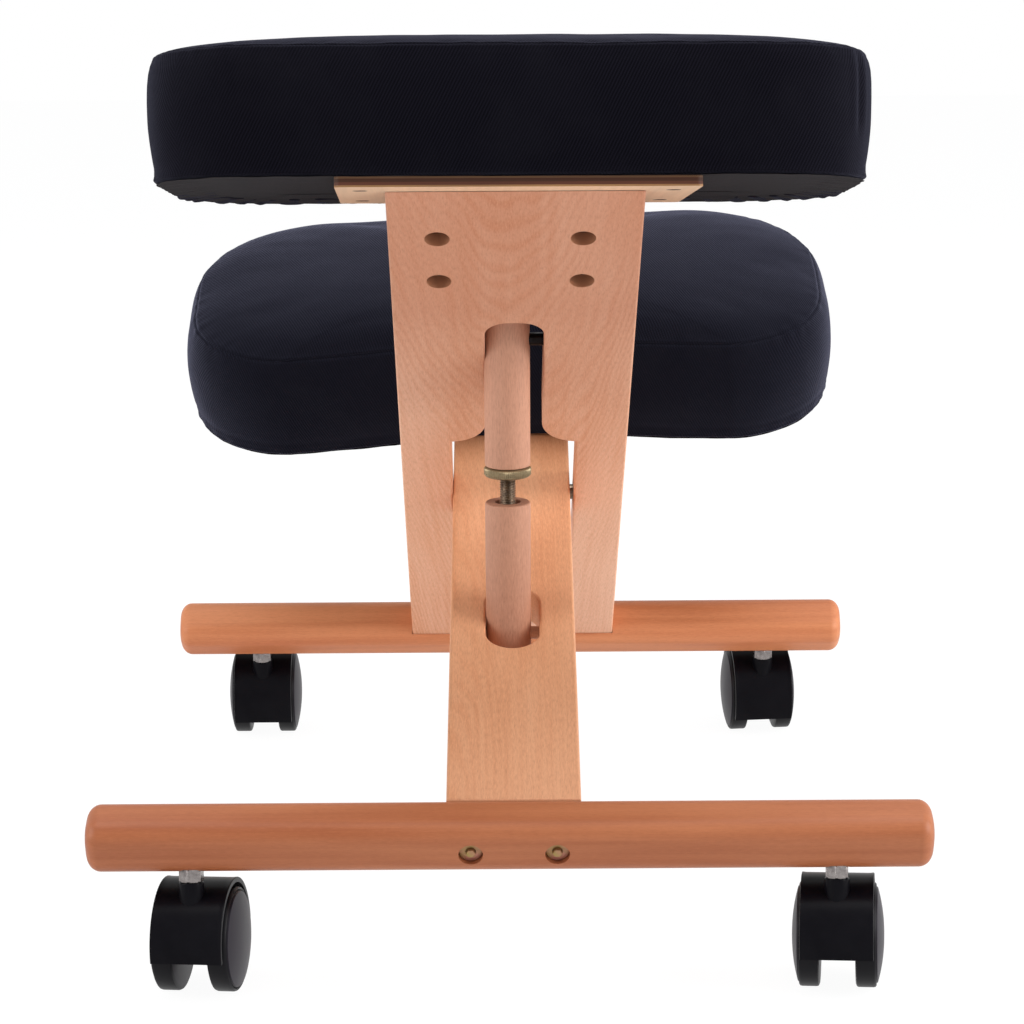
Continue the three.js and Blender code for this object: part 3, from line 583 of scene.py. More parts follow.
def plywood(name, rotation, bounds_z, light, plies, shaded_bores=()):
    """Plywood: beech veneer on its faces, and its plies, (where each ends, colour), along its edges."""
    n = Surface(name)
    base = n.coords(rotation=rotation)
    place = n.split(base)
    stops, start = [], 0.0
    for end, colour in plies:
        stops += [(start, colour), (end - 0.03, colour)]
        start = end
    edge = n.ramp(n.range(place[2], *bounds_z), stops)
    streak = n.noise(n.coords(scale=(9, 300, 300), source=base), 1.0, 3.0, 0.6)
    fine = n.noise(n.coords(scale=(300, 9, 300), source=base), 1.0, 3.0, 0.6)
    face = n.range(n.math("ABSOLUTE", n.turned_normal(rotation)[2]), 0.8, 0.95)
    veneer = n.mix(n.range(fine, 0.3, 0.75), scaled(light, 0.86), light)
    edge = n.mix(n.range(streak, 0.35, 0.8, 0.0, 0.6), edge, scaled(plies[1][1], 0.4))
    tone = n.mix(face, edge, veneer)
    # Painted shade: the walls of the holes are darkened
    for bore_x, bore_y, bore_r in shaded_bores:
        hole_shade = n.range(n.from_bore(place, bore_x, bore_y), bore_r, bore_r + 0.0002, 1.0, 0.0)
        tone = n.mix(hole_shade, tone, srgb(52, 36, 30))
    n.set(Base_Color=tone, Roughness=0.5, Coat_Weight=0.1, Coat_Roughness=0.2)
    n.set(Normal=n.bump(streak, 0.00006, 0.5))
    return n.owner


# Sunk screw holes in the seat beam, whose walls get painted shade
SINKS = [(SCREW_ASIDE * MM, (SEAT_TOP_RUN - drop) * MM, 0.0073) for drop in SCREW_DROPS]
# Painted shade along a board: where it starts and ends along the grain, and its tint at each share of that,
# darkest at the top end under the seat or the fork
SEAT_PAINTED_SHADE = (-0.15, 0.25, [(0.0, (1, 1, 1)), (0.42, (1, 1.02, 1.02)), (0.68, (0.9, 0.9, 0.9)),
                            (1.0, (0.67, 0.57, 0.53))])
KNEE_PAINTED_SHADE = (-0.34, 0.06, [(0.0, (0.88, 0.85, 0.86)), (0.5, (1.04, 1.03, 1.02)), (0.8, (1, 0.98, 0.96)),
                            (1.0, (0.55, 0.42, 0.34))])
TURN_X, TURN_Z = (0, 0, math.pi / 2), (math.pi / 2, 0, 0)
beech_seat = wood("beech_seat", srgb(240, 190, 160), srgb(220, 153, 114), seed=0.0, arcs=-0.6,
                  centre=(-0.015, 0.1), fan=1.2, shaded_bores=SINKS, painted_shade=SEAT_PAINTED_SHADE, rings=4200.0, ringed=0.36)
beech_knee = wood("beech_knee", srgb(234, 178, 138), srgb(216, 150, 107), seed=0.31, arcs=0.4,
                  centre=(0.03, 0.07), painted_shade=KNEE_PAINTED_SHADE)
beech_rear = wood("beech_rear", srgb(182, 113, 75), srgb(150, 80, 46), TURN_X, (0.01, 0.05), 0.57, 0.45,
                  0.2, fleck=0.5, coat=0.2, rings=700.0)
beech_front = wood("beech_front", srgb(216, 142, 98), srgb(188, 107, 67), TURN_X, (0.04, 0.03), 0.83, 0.45,
                   0.15, fleck=0.5, coat=0.12, rings=700.0)
beech_strut = wood("beech_strut", srgb(202, 152, 126), srgb(172, 117, 90), TURN_Z, (0.015, 0.02), 0.11,
                   arcs=0.3, streaked=0.08, ringed=0.08)
zinc = metal("zinc_plate", srgb(152, 146, 144), srgb(104, 98, 97), 0.28, metallic=0.9)
zinc_yellow = metal("zinc_yellow", srgb(150, 133, 102), srgb(117, 102, 75), 0.35, metallic=0.6)
zinc_rainbow = metal("zinc_rainbow", srgb(176, 112, 102), srgb(150, 130, 68), 0.35, 0.4, 0.45)
steel = metal("steel_thread", srgb(147, 130, 112), srgb(94, 80, 70), 0.35)
hood_nylon = plastic("hood_nylon", srgb(10, 9, 14), 0.3, 0.06)
wheel_nylon = plastic("wheel_nylon", srgb(33, 29, 37), 0.4, 0.12, tread=srgb(15, 14, 18))
seat_twill = twill("seat_twill", srgb(12, 11, 17), 1, 0.0, 0.35)
pad_twill = twill("pad_twill", srgb(14, 14, 21), -1, 0.4, 1.1)
liner_cloth = lining("liner_cloth", srgb(19, 15, 20))

# Camera: the photograph's view
PITCH, YAW, ROLL = 12.68 * DEG, 0.04 * DEG, -0.35 * DEG
FOCAL_SHARE, SENSOR = 2940 / 1024, 36
CAMERA_X, CAMERA_BACK, CAMERA_UP = -0.0011, 1.91723, 0.4176
forward = Vector((math.sin(YAW) * math.cos(PITCH), math.cos(YAW) * math.cos(PITCH), -math.sin(PITCH)))
right = forward.cross(Vector((0, 0, 1))).normalized()
up = right.cross(forward)
right, up = (right * math.cos(ROLL) + up * math.sin(ROLL),
             up * math.cos(ROLL) - right * math.sin(ROLL))
view = Matrix((right, up, -forward)).transposed().to_4x4()
view.translation = (CAMERA_X, PIVOT.y * MM - CAMERA_BACK, PIVOT.z * MM + CAMERA_UP)
camera_data = bpy.data.cameras.new("camera")
camera_data.sensor_width = SENSOR
camera_data.lens = SENSOR * FOCAL_SHARE
camera = bpy.data.objects.new("camera", camera_data)
camera.matrix_world = view
scene.collection.objects.link(camera)
scene.camera = camera
scene.view_settings.view_transform = "Standard"


# Floor, backdrop and light
def white_stage(name, share):
    """White to the camera, plain pale to light, with a faint share of real shading for shadows."""
    n = Nodes(bpy.data.materials.new(name))
    diffuse, emission = n.add("ShaderNodeBsdfDiffuse"), n.add("ShaderNodeEmission")
    diffuse.inputs["Color"].default_value = (0.95, 0.95, 0.95, 1)
    emission.inputs["Strength"].default_value = 1.06
    mixed = n.blend(n.white_rays(), diffuse, n.blend(share, emission, diffuse))
    n.link(mixed.outputs[0], n.out.inputs[0])
    return n.owner


def studio_world(name):
    """White to the camera, and a soft pale sky to light."""
    n = Nodes(bpy.data.worlds.new(name), "ShaderNodeOutputWorld")
    sky, white = n.add("ShaderNodeBackground"), n.add("ShaderNodeBackground")
    for node, colour, strength in ((sky, (0.95, 0.97, 1.0, 1), 0.38), (white, (1, 1, 1, 1), 1.0)):
        node.inputs["Color"].default_value = colour
        node.inputs["Strength"].default_value = strength
    n.link(n.blend(n.white_rays(), sky, white).outputs[0], n.out.inputs[0])
    return n.owner




floor = new_object("floor", [(-6, -6, 0), (6, -6, 0), (6, 6, 0), (-6, 6, 0)], [(0, 1, 2, 3)])
floor.data.materials.append(white_stage("floor_white", 0.1))

scene.world = studio_world("studio")


def lamp(name, place, target, size, power, colour=(1, 1, 1)):
    data = bpy.data.lights.new(name, "AREA")
    data.shape = "RECTANGLE"
    data.size, data.size_y = size
    data.energy = power
    data.color = colour
    obj = bpy.data.objects.new(name, data)
    obj.location = place
    obj.rotation_mode = "QUATERNION"
    obj.rotation_quaternion = (Vector(target) - Vector(place)).to_track_quat("-Z", "Y")
    scene.collection.objects.link(obj)


lamp("overhead", (0, -0.15, 2.3), (0, 0, 0.3), (2.2, 1.6), 35)
lamp("right", (2.1, -0.7, 1.0), (0, 0, 0.3), (1.4, 1.4), 44)
lamp("left", (-2.1, -0.7, 1.0), (0, 0, 0.3), (1.4, 1.4), 25)




# Cushions
AROUND = 300
POCKET_INSET, POCKET_TOP = 10.02, BOARD_THICK + 0.35
# How far from its middle the leaning pad is lifted clear of the knee beam
LEAN_REACH = 39
# Shares of the side's height and of the top's reach at which the form has a ring
SIDE_SHARES = [0.0, 0.012, 0.03, 0.055, 0.09, 0.14, 0.2, 0.27, 0.34, 0.41, 0.48, 0.55, 0.62, 0.69, 0.75,
               0.8, 0.84, 0.875, 0.905, 0.93, 0.95, 0.965, 0.978, 0.988, 0.995, 1.0]
TOP_SHARES = [0.998, 0.995, 0.991, 0.985, 0.978, 0.968, 0.955, 0.94, 0.92, 0.895, 0.865, 0.83, 0.785,
              0.73, 0.665, 0.59, 0.5, 0.4, 0.29, 0.17, 0.06]
CLOTH = dict(quality=6, mass=0.3, tension_stiffness=18, compression_stiffness=18, shear_stiffness=8,
             bending_stiffness=1.2, use_pressure=True, uniform_pressure_force=4.0,
             vertex_group_mass="held", pin_stiffness=1.0)
CLOTH_FRAMES, MOST_SWELL = 20, 0.007


def outline(size, inset, count=AROUND):
    """The cushion's outline at an inset, evenly spaced along the outline without the inset."""
    width, depth, near, far, dip, dip_width = (size[key] for key in PLAN)
    near_x, near_y = width / 2 - near, near - depth / 2
    far_x, far_y = width / 2 - far, depth / 2 - far
    quarter = math.pi / 2
    side = far_y - near_y
    parts = [(2 * near_x, None, 0, 0, 0), (quarter * near, near, near_x, near_y, -quarter),
             (side, None, 0, 0, 1), (quarter * far, far, far_x, far_y, 0),
             (2 * far_x, None, 0, 0, 2), (quarter * far, far, -far_x, far_y, quarter),
             (side, None, 0, 0, 3), (quarter * near, near, -near_x, near_y, 2 * quarter)]
    total = sum(part[0] for part in parts)
    points = []
    for i in range(count):
        s = (i + 0.5) / count * total
        for length, radius, cx, cy, start in parts[:-1]:
            if s <= length:
                break
            s -= length
        else:
            length, radius, cx, cy, start = parts[-1]
        if radius:
            a, r = start + s / radius, radius - inset
            points.append((cx + r * math.cos(a), cy + r * math.sin(a)))
        elif start == 0:
            px = s - near_x
            lift = dip * math.cos(px / dip_width * math.pi) ** 2 if abs(px) < dip_width / 2 else 0
            points.append((px, inset - depth / 2 + lift))
        elif start == 2:
            points.append((far_x - s, depth / 2 - inset))
        else:
            sign = 1 if start == 1 else -1
            points.append((sign * (width / 2 - inset), near_y + s if sign > 0 else far_y - s))
    return points


def smooth_noise(p, scale, seed=0.0):
    return noise.noise(Vector((p[0] * scale + seed, p[1] * scale + seed * 1.3, p[2] * scale - seed)))


def cushion_ring(size, inset, share, z):
    """A ring of the plain form, whose sides lean in over its upper half."""
    upper = unit((z / size["edge"] - 0.5) * 2)
    narrow = 1 - size["lean"] * upper * upper * 2 / size["width"]
    return [(x * share * narrow, y * share, z) for x, y in outline(size, inset)]


def crown_height(size, share):
    return size["edge"] + size["crown"] * (1 - share ** size["bulge"])


def simulate(name, size):
    """Runs the cloth over a plain form, slightly small, and returns the swollen surface as a tree."""
    edge, draws, top_draw = size["edge"], size["draw"], size["draw"][-1][1]
    rings = [cushion_ring(size, 6.5, 1, 0), cushion_ring(size, 4.0, 1, 3)]
    rings += [cushion_ring(size, draw + 1.6, 1, edge * t) for t, draw in draws if t > 0.12]
    rings += [cushion_ring(size, top_draw + 1.7, share, crown_height(size, share) - 1.5)
              for share in (0.985, 0.96, 0.92, 0.86, 0.78, 0.68, 0.55, 0.4, 0.2)]
    verts, faces = loft(rings, caps=False)
    base = len(verts)
    verts += [(0, 0, 0), (0, 0, edge + size["crown"])]
    last = base - AROUND
    for i in range(AROUND):
        faces.append((base, (i + 1) % AROUND, i))
        faces.append((last + i, last + (i + 1) % AROUND, base + 1))
    obj = face_out(new_object(name, [Vector(v) * MM for v in verts], faces))
    remesh = obj.modifiers.new("remesh", "REMESH")
    remesh.mode, remesh.voxel_size = "VOXEL", 0.006
    graph = bpy.context.evaluated_depsgraph_get()
    mesh = bpy.data.meshes.new_from_object(obj.evaluated_get(graph))
    obj.modifiers.clear()
    obj.data = mesh
    rest = [v.co.copy() for v in mesh.vertices]
    # The hem holds fast, and the seam holds by half
    group = obj.vertex_groups.new(name="held")
    seam = edge * MM
    for i, co in enumerate(rest):
        near_seam = bell(co.z - seam, 0.005) * 0.5 if co.z < seam + 0.004 else 0
        weight = min(1.0, max(0.0, 1 - co.z / 0.008) + near_seam)
        if weight > 0.02:
            group.add([i], weight, "REPLACE")
    cloth = obj.modifiers.new("cloth", "CLOTH")
    for key, value in CLOTH.items():
        setattr(cloth.settings, key, value)
    cloth.settings.effector_weights.gravity = 0
    cloth.collision_settings.use_collision = False
    for step in range(1, CLOTH_FRAMES + 1):
        scene.frame_set(step)
    graph = bpy.context.evaluated_depsgraph_get()
    moved = bpy.data.meshes.new_from_object(obj.evaluated_get(graph))
    points = []
    for start, vertex in zip(rest, moved.vertices):
        d = vertex.co - start
        points.append((start + d * min(1.0, MOST_SWELL / max(d.length, 1e-9))) / MM)
    tree = BVHTree.FromPolygons(points, [tuple(p.vertices) for p in moved.polygons])
    bpy.data.objects.remove(obj)
    scene.frame_set(1)
    return tree


def swelling(grid, normal, tree):
    """How far the cloth stands off the plain form, along its normals, smoothed and bounded."""
    off = np.zeros(grid.shape[:2])
    for r, i in np.ndindex(off.shape):
        p, d = Vector(grid[r, i]), Vector(normal[r, i])
        hit = tree.ray_cast(p - d * 16, d, 34)[0]
        off[r, i] = (hit - p).dot(d) if hit is not None else 0.0
    for _ in range(3):
        off = (np.roll(off, 1, 1) + 2 * off + np.roll(off, -1, 1)) / 4
        off[1:-1] = (off[:-2] + 2 * off[1:-1] + off[2:]) / 4
    return np.clip(off, -2.5, 6.0) * np.clip(grid[:, :, 2] / 7, 0, 1)


def relief(p, from_seam, run, creases, seed):
    """The seam, puckers along it, soft unevenness and tucks, as a height over the swollen form."""
    height = 0.25 * (bell(from_seam - 2.4, 1.3) + bell(from_seam + 2.4, 1.3)) - 0.9 * bell(from_seam, 0.9)
    height += 0.5 * bell(from_seam, 9) * smooth_noise((run, from_seam * 0.4, 0), 0.16, seed)
    wave = 0.9 * smooth_noise(p, 0.014, seed + 5) + 0.35 * smooth_noise(p, 0.045, seed + 9)
    height += wave * min(1.0, p[2] / 14)
    for x, y, low, high, depth in creases:
        d = math.hypot(p[0] - x, p[1] - y)
        if d < 16:
            reach = unit((p[2] - low) / 12) * unit((high - p[2]) / 3)
            height += depth * reach * (0.35 * bell(d - 7, 3) - bell(d, 2.6))
    return height


def cushion_form(name, size, seed):
    """Rings of a stuffed form from the hem's inner edge, up the side and over the top to its middle."""
    edge, draws = size["edge"], size["draw"]
    rings = [cushion_ring(size, float(np.interp(t, *zip(*draws))), 1, edge * t) for t in SIDE_SHARES]
    rings += [cushion_ring(size, draws[-1][1], share, crown_height(size, share)) for share in TOP_SHARES]
    grid = np.array(rings)
    normal = np.cross(np.roll(grid, -1, 1) - np.roll(grid, 1, 1), np.gradient(grid, axis=0))
    normal /= np.linalg.norm(normal, axis=2, keepdims=True) + 1e-12
    grid = grid + normal * swelling(grid, normal, simulate(name + "_cloth", size))[:, :, None]
    rise = np.concatenate([[0], np.cumsum(np.linalg.norm(np.diff(grid, axis=0), axis=2).mean(1))])
    from_seam = rise - rise[len(SIDE_SHARES) - 1]
    arc_run = np.cumsum(np.linalg.norm(np.roll(grid[10], -1, 0) - grid[10], axis=1))
    for r, i in np.ndindex(grid.shape[:2]):
        height = relief(grid[r, i], from_seam[r], arc_run[i], size["creases"], seed)
        grid[r, i] += normal[r, i] * height
    return grid, arc_run


def doubled(grid, axis):
    """A grid with a point between each two, on a smooth line through them. Axis 1 is the closed ring."""
    if axis:
        middle = (9 * (grid + np.roll(grid, -1, 1)) - np.roll(grid, 1, 1) - np.roll(grid, -2, 1)) / 16
        return np.stack([grid, middle], 2).reshape(len(grid), -1, 3)
    ends = np.concatenate([2 * grid[:1] - grid[1:2], grid, 2 * grid[-1:] - grid[-2:-1]])
    out = np.empty((2 * len(grid) - 1, grid.shape[1], 3))
    out[::2] = grid
    out[1::2] = (9 * (ends[1:-2] + ends[2:-1]) - ends[:-3] - ends[3:]) / 16
    return out


def outward(x, y, amount):
    """A point moved away from the middle."""
    d = Vector((x, y, 0)).normalized()
    return x + d.x * amount, y + d.y * amount


def lean(angle):
    """Leans the pad a little to one side about the knee beam, and lifts it clear of the beam."""
    return shift(0, 0, abs(math.sin(angle)) * LEAN_REACH) @ Matrix.Rotation(angle, 4, "Y")


def cushion_piece(name, size, seed, matrix, body, material, replaced, press, pleats, tilt=0.0):
    """A stuffed cushion: the pocket over its board, the hem turned under it, its sides and its top."""
    grid, arc_run = cushion_form(name, size, seed)
    hem, fold_high = size["draw"][0][1], 6

    def gather(i, x, y):
        return math.sin(arc_run[i] / 2.9 + 2.2 * smooth_noise((x, y, 0), 0.05, seed))

    def flat(inset, z, wave=0.0):
        points = []
        for i, (x, y) in enumerate(outline(size, inset)):
            fold, pressed = wave * pleats(x, y), press(x, y)
            drop = (z - fold * (0.5 + 0.5 * gather(i, x, y))) * (pressed if z < -FIT else 1)
            if pressed < 0.5:
                drop = max(drop, -0.24)
            aside = 1.4 * fold * smooth_noise((arc_run[i], 0, 0), 0.22, seed + 3)
            points.append((*outward(x, y, aside), drop))
        return points

    pocket = np.array([[(0.0, 0.0, POCKET_TOP)] * AROUND, flat(40, POCKET_TOP), flat(POCKET_INSET, POCKET_TOP),
                       flat(POCKET_INSET, -0.02), flat(30, -0.04), flat(30, -0.2)])
    rows = [flat(hem + inset, z, wave) for inset, z, wave in
            ((15, -0.8, 0.5), (9, -1.3, 0.9), (5, -1.6, 1.4), (2.4, -1.5, 1.6), (0.8, -0.9, 1.0))]
    for ring in grid:
        row = []
        for i, (x, y, z) in enumerate(ring):
            if z < fold_high:
                x, y = outward(x, y, 0.5 * pleats(x, y) * (1 - z / fold_high) * gather(i, x, y))
            row.append((x, y, z))
        rows.append(row)
    rows = np.concatenate([doubled(pocket, 1), doubled(doubled(np.array(rows), 1), 0)]).tolist()
    verts, faces = loft(rows, caps=False)
    count = len(rows[0])
    last = len(verts) - count
    faces += [(last + i, last + (i + 1) % count, len(verts)) for i in range(count)]
    verts.append(tuple(grid[-1].mean(0)))
    leaning = lean(tilt)
    obj = face_out(new_object(name, [leaning @ Vector(v) for v in verts], faces))
    finish_piece(obj, matrix, body, material, replaced, angle=0, weighted=False)


def liner_piece(name, size, matrix, body, seed, tilt=0.0):
    """A thin dust cloth under the board, stapled over the turned hem, with an uneven edge."""
    top, bottom = [], []
    hem = size["draw"][0][1]
    for inset in (hem + 1.2, hem + 3, hem + 6, 17, 20, 25, 30, 38, 55, 75):
        lift = float(np.interp(inset, (hem + 1, hem + 5, 21, 29), (-2.3, -2.0, -1.1, -0.24)))
        top.append([])
        bottom.append([])
        for i, (x, y) in enumerate(outline(size, inset, 260)):
            ragged = 2.0 * smooth_noise((i, 0, 0), 0.35, seed) + 2.6 * smooth_noise((i, 0, 0), 0.08, seed + 2)
            ragged = ragged * 0.5 if y < 40 else ragged - 2.5
            over_beam = size is PAD_SIZE and abs(x) < 47 and y < 0
            ripple = 0.5 * smooth_noise((x, y * 3, 0), 0.05, seed + 4) if inset < 28 else 0
            z = -0.24 if over_beam else min(-0.22, lift + ripple)
            x, y = outward(x, y, max(0.0, 1 - (inset - hem - 1.2) / 8) * ragged)
            top[-1].append((x, y, z + (0.12 if over_beam or inset >= 28 else 0.15)))
            bottom[-1].append((x, y, z))
    verts, faces = loft(top[::-1] + bottom)
    leaning = lean(tilt)
    obj = face_out(new_object(name, [leaning @ Vector(v) for v in verts], faces))
    finish_piece(obj, matrix, body, liner_cloth, angle=40, weighted=False)


def seat_pleats(x, y):
    """Gathers are strongest round the far corners and along the far edge."""
    return min(1.0, 0.1 + unit((y - 20) / 60) * (0.45 + max(0.0, (abs(x) - 110) / 80)))


def pad_pleats(x, y):
    return min(1.0, max(0.0, (abs(x) - 120) / 80) * 0.6 + 0.1)


def pad_board():
    board = plank("knee_pad_board_ply", outline(PAD_SIZE, POCKET_INSET + FIT, 200), [], BOARD_THICK, 0.6, 2)
    board.data.transform(shift(0, 0, BOARD_THICK / 2) @ lean(PAD_TILT))
    finish_piece(board, pad_frame, "knee_frame", ply_pad, ("knee_pad_board",), angle=35)


cushion_piece("seat_cushion_fabric", SEAT_SIZE, 1.0, cushion_frame, "seat_frame", seat_twill,
              ("seat_cushion",), lambda x, y: 1.0, seat_pleats)
liner_piece("seat_liner", SEAT_SIZE, cushion_frame, "seat_frame", 3.0)
cushion_piece("knee_pad_fabric", PAD_SIZE, 7.0, pad_frame, "knee_frame", pad_twill, ("knee_pad",),
              lambda x, y: 0.0 if abs(x) < 50 and y < 40 else 1.0, pad_pleats, PAD_TILT)
liner_piece("knee_pad_liner", PAD_SIZE, pad_frame, "knee_frame", 5.0, PAD_TILT)
PLY_PALE, PLY_DARK = srgb(214, 176, 136), srgb(150, 100, 66)
BOARD_PLIES = [(share, (PLY_PALE, PLY_DARK)[i % 2]) for i, share in enumerate((0.2, 0.4, 0.6, 0.8, 1.03))]
ply_pad = plywood("board_ply_pad", (0, 0, 0), (0, BOARD_THICK * MM), PLY_PALE, BOARD_PLIES)
pad_board()


# Wood
CROSSWISE = Matrix.Rotation(math.pi / 2, 4, "Y")
DOWN_BEAM = Matrix.Rotation(-math.pi / 2, 4, "X")


def crossbar(name, matrix, material, replaced, body, cuts, offset):
    """A rounded square bar with rounded ends, set a little aside, and the cuts for what stays in place."""
    corner, end, steps = 12, 8, 8
    turns = [math.pi / 2 * i / steps for i in range(steps + 1)]
    stations = [(-BAR_LENGTH / 2 + end * (1 - math.cos(a)), end * (1 - math.sin(a))) for a in turns]
    stations += [(-x, s) for x, s in reversed(stations)]
    rings = []
    for x, s in stations:
        size = BAR - 2 * s
        outline_yz = rounded_rect(-size / 2, -size / 2, size, size, max(1.0, corner - s * 0.6), 9)
        rings.append([(x + offset, y, z) for y, z in outline_yz])
    obj = face_out(new_object(name, *loft(rings)))
    for tool, place in cuts:
        boolean(obj, tool, place)
    finish_piece(obj, matrix, body, material, (replaced,), angle=38)


def bolt_seats(spread, bar_run=0):
    """Where the two washers sit in a bar's frame, or in the frame of the beam that ends in the bar."""
    return [shift(side * spread / 2, -bar_run - BAR / 2 + BOLT_SINK, 0) @ DOWN_BEAM for side in (-1, 1)]


def bolt_tools(spread):
    """A washer's sink and the bolt's hole, for both bolts of a bar."""
    out = []
    for seat in bolt_seats(spread):
        out.append((cylinder(7.0, 40, 48), seat @ shift(0, 0, -40)))
        out.append((cylinder(BOLT_BORE, 90, 24), seat @ shift(0, 0, -4)))
    return out


def caster_frame(side, front, swivel):
    lean_back = STEM_TILT if front else -STEM_TILT
    up_stem = Vector((0, -math.sin(lean_back), math.cos(lean_back)))
    trail = Vector((0, math.cos(lean_back), math.sin(lean_back)))
    trail = Matrix.Rotation(-swivel, 3, up_stem) @ trail
    origin = (front_bar if front else rear_bar).copy()
    origin.x = side * CASTER_ASIDE
    origin = origin - up_stem * STEM_DROP + trail * STEM_TRAIL
    return frame_at(origin, trail.cross(up_stem), trail)


CASTERS = {"rear_left": (-1, False, 9 * DEG), "rear_right": (1, False, 8 * DEG),
           "front_left": (-1, True, 0.0), "front_right": (1, True, -4 * DEG)}
caster_frames = {name: caster_frame(*spec) for name, spec in CASTERS.items()}
COLLAR_R, COLLAR_HIGH, COLLAR_SINK = 7.3, 7.4, 7.9
COLLAR_TOP = STEM_DROP - 17.6
COLLAR_FOOT = COLLAR_TOP - COLLAR_HIGH
STEM_R, WHEEL_AXLE_BORE = 4, 3.3
STEM_BORE = STEM_R + FIT


def stem_tools(bar_matrix, front):
    """A sink for each collar and a bore for each stem of a bar."""
    out = []
    for name, (_, is_front, _) in CASTERS.items():
        if is_front == front:
            local = bar_matrix.inverted() @ caster_frames[name] @ shift(0, -STEM_TRAIL, COLLAR_TOP)
            out.append((cylinder(COLLAR_SINK, 30, 40), local @ shift(0, 0, -30)))
            out.append((cylinder(STEM_BORE, 16, 24), local @ shift(0, 0, -3)))
    return out


def screw_places():
    """The plate's screws start at the floors of their sinks in the beam, and point up through it."""
    out = []
    for side in (-1, 1):
        for drop in SCREW_DROPS:
            start = along(SEAT_RISE, SEAT_TOP_RUN - drop) + BEAM_UNDER * (BEAM_THICK / 2 - SINK_DEPTH)
            start.x = side * SCREW_ASIDE
            out.append(axis_frame(start, -BEAM_UNDER))
    return out


def seat_beam():
    """A wide beam, forked over most of its length, that leans a little to the right about its foot."""
    half, foot, top = 72.3, -SEAT_RUN + BAR_GAP - 6, SEAT_TOP_RUN + 72
    slot, gap, gap_foot, shoulder, tongue, slot_top, turn = 17.8, 39.9, -148, 90, 23, 235, 14
    quarter = math.pi / 2
    body_outline = [(-half, foot), (half, foot), (half, top), (-half, top)]
    hole = [(gap, gap_foot), (gap, shoulder)]
    hole += arc(gap, shoulder + tongue, gap - slot, tongue, -quarter, -math.pi, 14)[1:]
    hole += arc(slot - turn, slot_top - turn, turn, turn, 0, quarter, 10)
    hole += arc(turn - slot, slot_top - turn, turn, turn, quarter, math.pi, 10)
    hole += arc(-gap, shoulder + tongue, gap - slot, tongue, 0, -quarter, 14)
    hole += [(-gap, gap_foot)]
    obj = plank("seat_beam_wood", body_outline, [hole], BEAM_THICK, 1.5)
    # Only the wood leans: its holes stay with what goes through them
    beam_matrix = seat_frame @ shift(0, foot, 0) @ Matrix.Rotation(-BEAM_LEAN, 4, "Z") @ shift(0, -foot, 0)
    back = beam_matrix.inverted()
    own = back @ seat_frame
    boolean(obj, block((-150, -20, -FIT), (150, 200, 200)), back @ plate_frame)
    boolean(obj, pin_tool(AXLE_BORE, 150), own @ CROSSWISE)
    boolean(obj, pin_tool(PIN_BORE, 75.6), own @ shift(0, UPPER_PIN_RUN, 0) @ CROSSWISE)
    for place in screw_places():
        boolean(obj, cylinder(7.2, 17, 40), back @ place @ shift(0, 0, -17))
        boolean(obj, cylinder(SCREW_BORE, 60, 20), back @ place @ shift(0, 0, -1))
    for seat in bolt_seats(FRONT_BOLTS, SEAT_RUN):
        boolean(obj, cylinder(BOLT_BORE, 84, 24), own @ seat)
    # Its material reads the place of the holes in the frame that doesn't lean
    obj.data.transform(seat_frame.inverted() @ beam_matrix)
    finish_piece(obj, seat_frame, "seat_frame", beech_seat, ("seat_beam",), angle=38)


def knee_beam():
    """A narrow beam with a long slot for the strut's lower end."""
    half, foot, top = 38.6, -KNEE_RUN + BAR_GAP, 202
    slot_half, slot_length, slot_round = 16.7, 62, 16.69
    outline_xy = [(-half, foot), (half, foot), (half, top), (-half, top)]
    hole = rounded_rect(-slot_half, LOWER_PIN_RUN - slot_length / 2, 2 * slot_half, slot_length, slot_round, 12)
    obj = plank("knee_beam_wood", outline_xy, [hole], BEAM_THICK, 2.0)
    boolean(obj, pin_tool(AXLE_BORE, 90), CROSSWISE)
    boolean(obj, pin_tool(PIN_BORE, 64), shift(0, LOWER_PIN_RUN, 0) @ CROSSWISE)
    for seat in bolt_seats(REAR_BOLTS, KNEE_RUN):
        boolean(obj, cylinder(BOLT_BORE, 84, 24), seat)
    finish_piece(obj, knee_frame, "knee_frame", beech_knee, ("knee_beam",), angle=38)


rear_matrix, front_matrix = at(knee_frame, rear_bar), at(seat_frame, front_bar)
crossbar("rear_bar_wood", rear_matrix, beech_rear, "rear_bar", "knee_frame",
         bolt_tools(REAR_BOLTS) + stem_tools(rear_matrix, False), -2.4)
foot_housing = block((-72.6, 11.3, -12.3), (72.6, 30, 12.3))
crossbar("front_bar_wood", front_matrix, beech_front, "front_bar", "seat_frame",
         bolt_tools(FRONT_BOLTS) + stem_tools(front_matrix, True) + [(foot_housing, Matrix())], -1.4)
seat_beam()
knee_beam()


# Strut, wheel and screw
STRUT_R, KNOB_HIGH, SCREW_LENGTH = 14, 6, 120
LOWER_STRUT_TOP = 84
KNOB_FOOT = LOWER_STRUT_TOP + 16.5
KNOB_TOP = KNOB_FOOT + KNOB_HIGH
SCREW_FOOT = KNOB_FOOT - 74


def strut(name, bottom, top, round_bottom, round_top, bore, pin_height):
    """One turned length, with a bored end and a rounded end. The bore is (radius, low, high)."""
    bore_r, bore_low, bore_high = bore
    outer = [(0, bottom), (STRUT_R, bottom), (STRUT_R, top), (0, top)]
    path = rounded(outer, {1: round_bottom, 2: round_top}, 8)
    if bore_high >= top:
        path = path[:-1] + [(bore_r + 0.5, top), (bore_r, top - 0.5), (bore_r, bore_low), (0, bore_low)]
    else:
        path = [(0, bore_high), (bore_r, bore_high), (bore_r, bottom + 0.5), (bore_r + 0.5, bottom)] + path[1:]
    obj = face_out(new_object(name + "_wood", *lathe(path, 64)))
    boolean(obj, pin_tool(PIN_BORE, 40), shift(0, 0, pin_height) @ CROSSWISE)
    finish_piece(obj, strut_frame, name, beech_strut, (name,), angle=40)


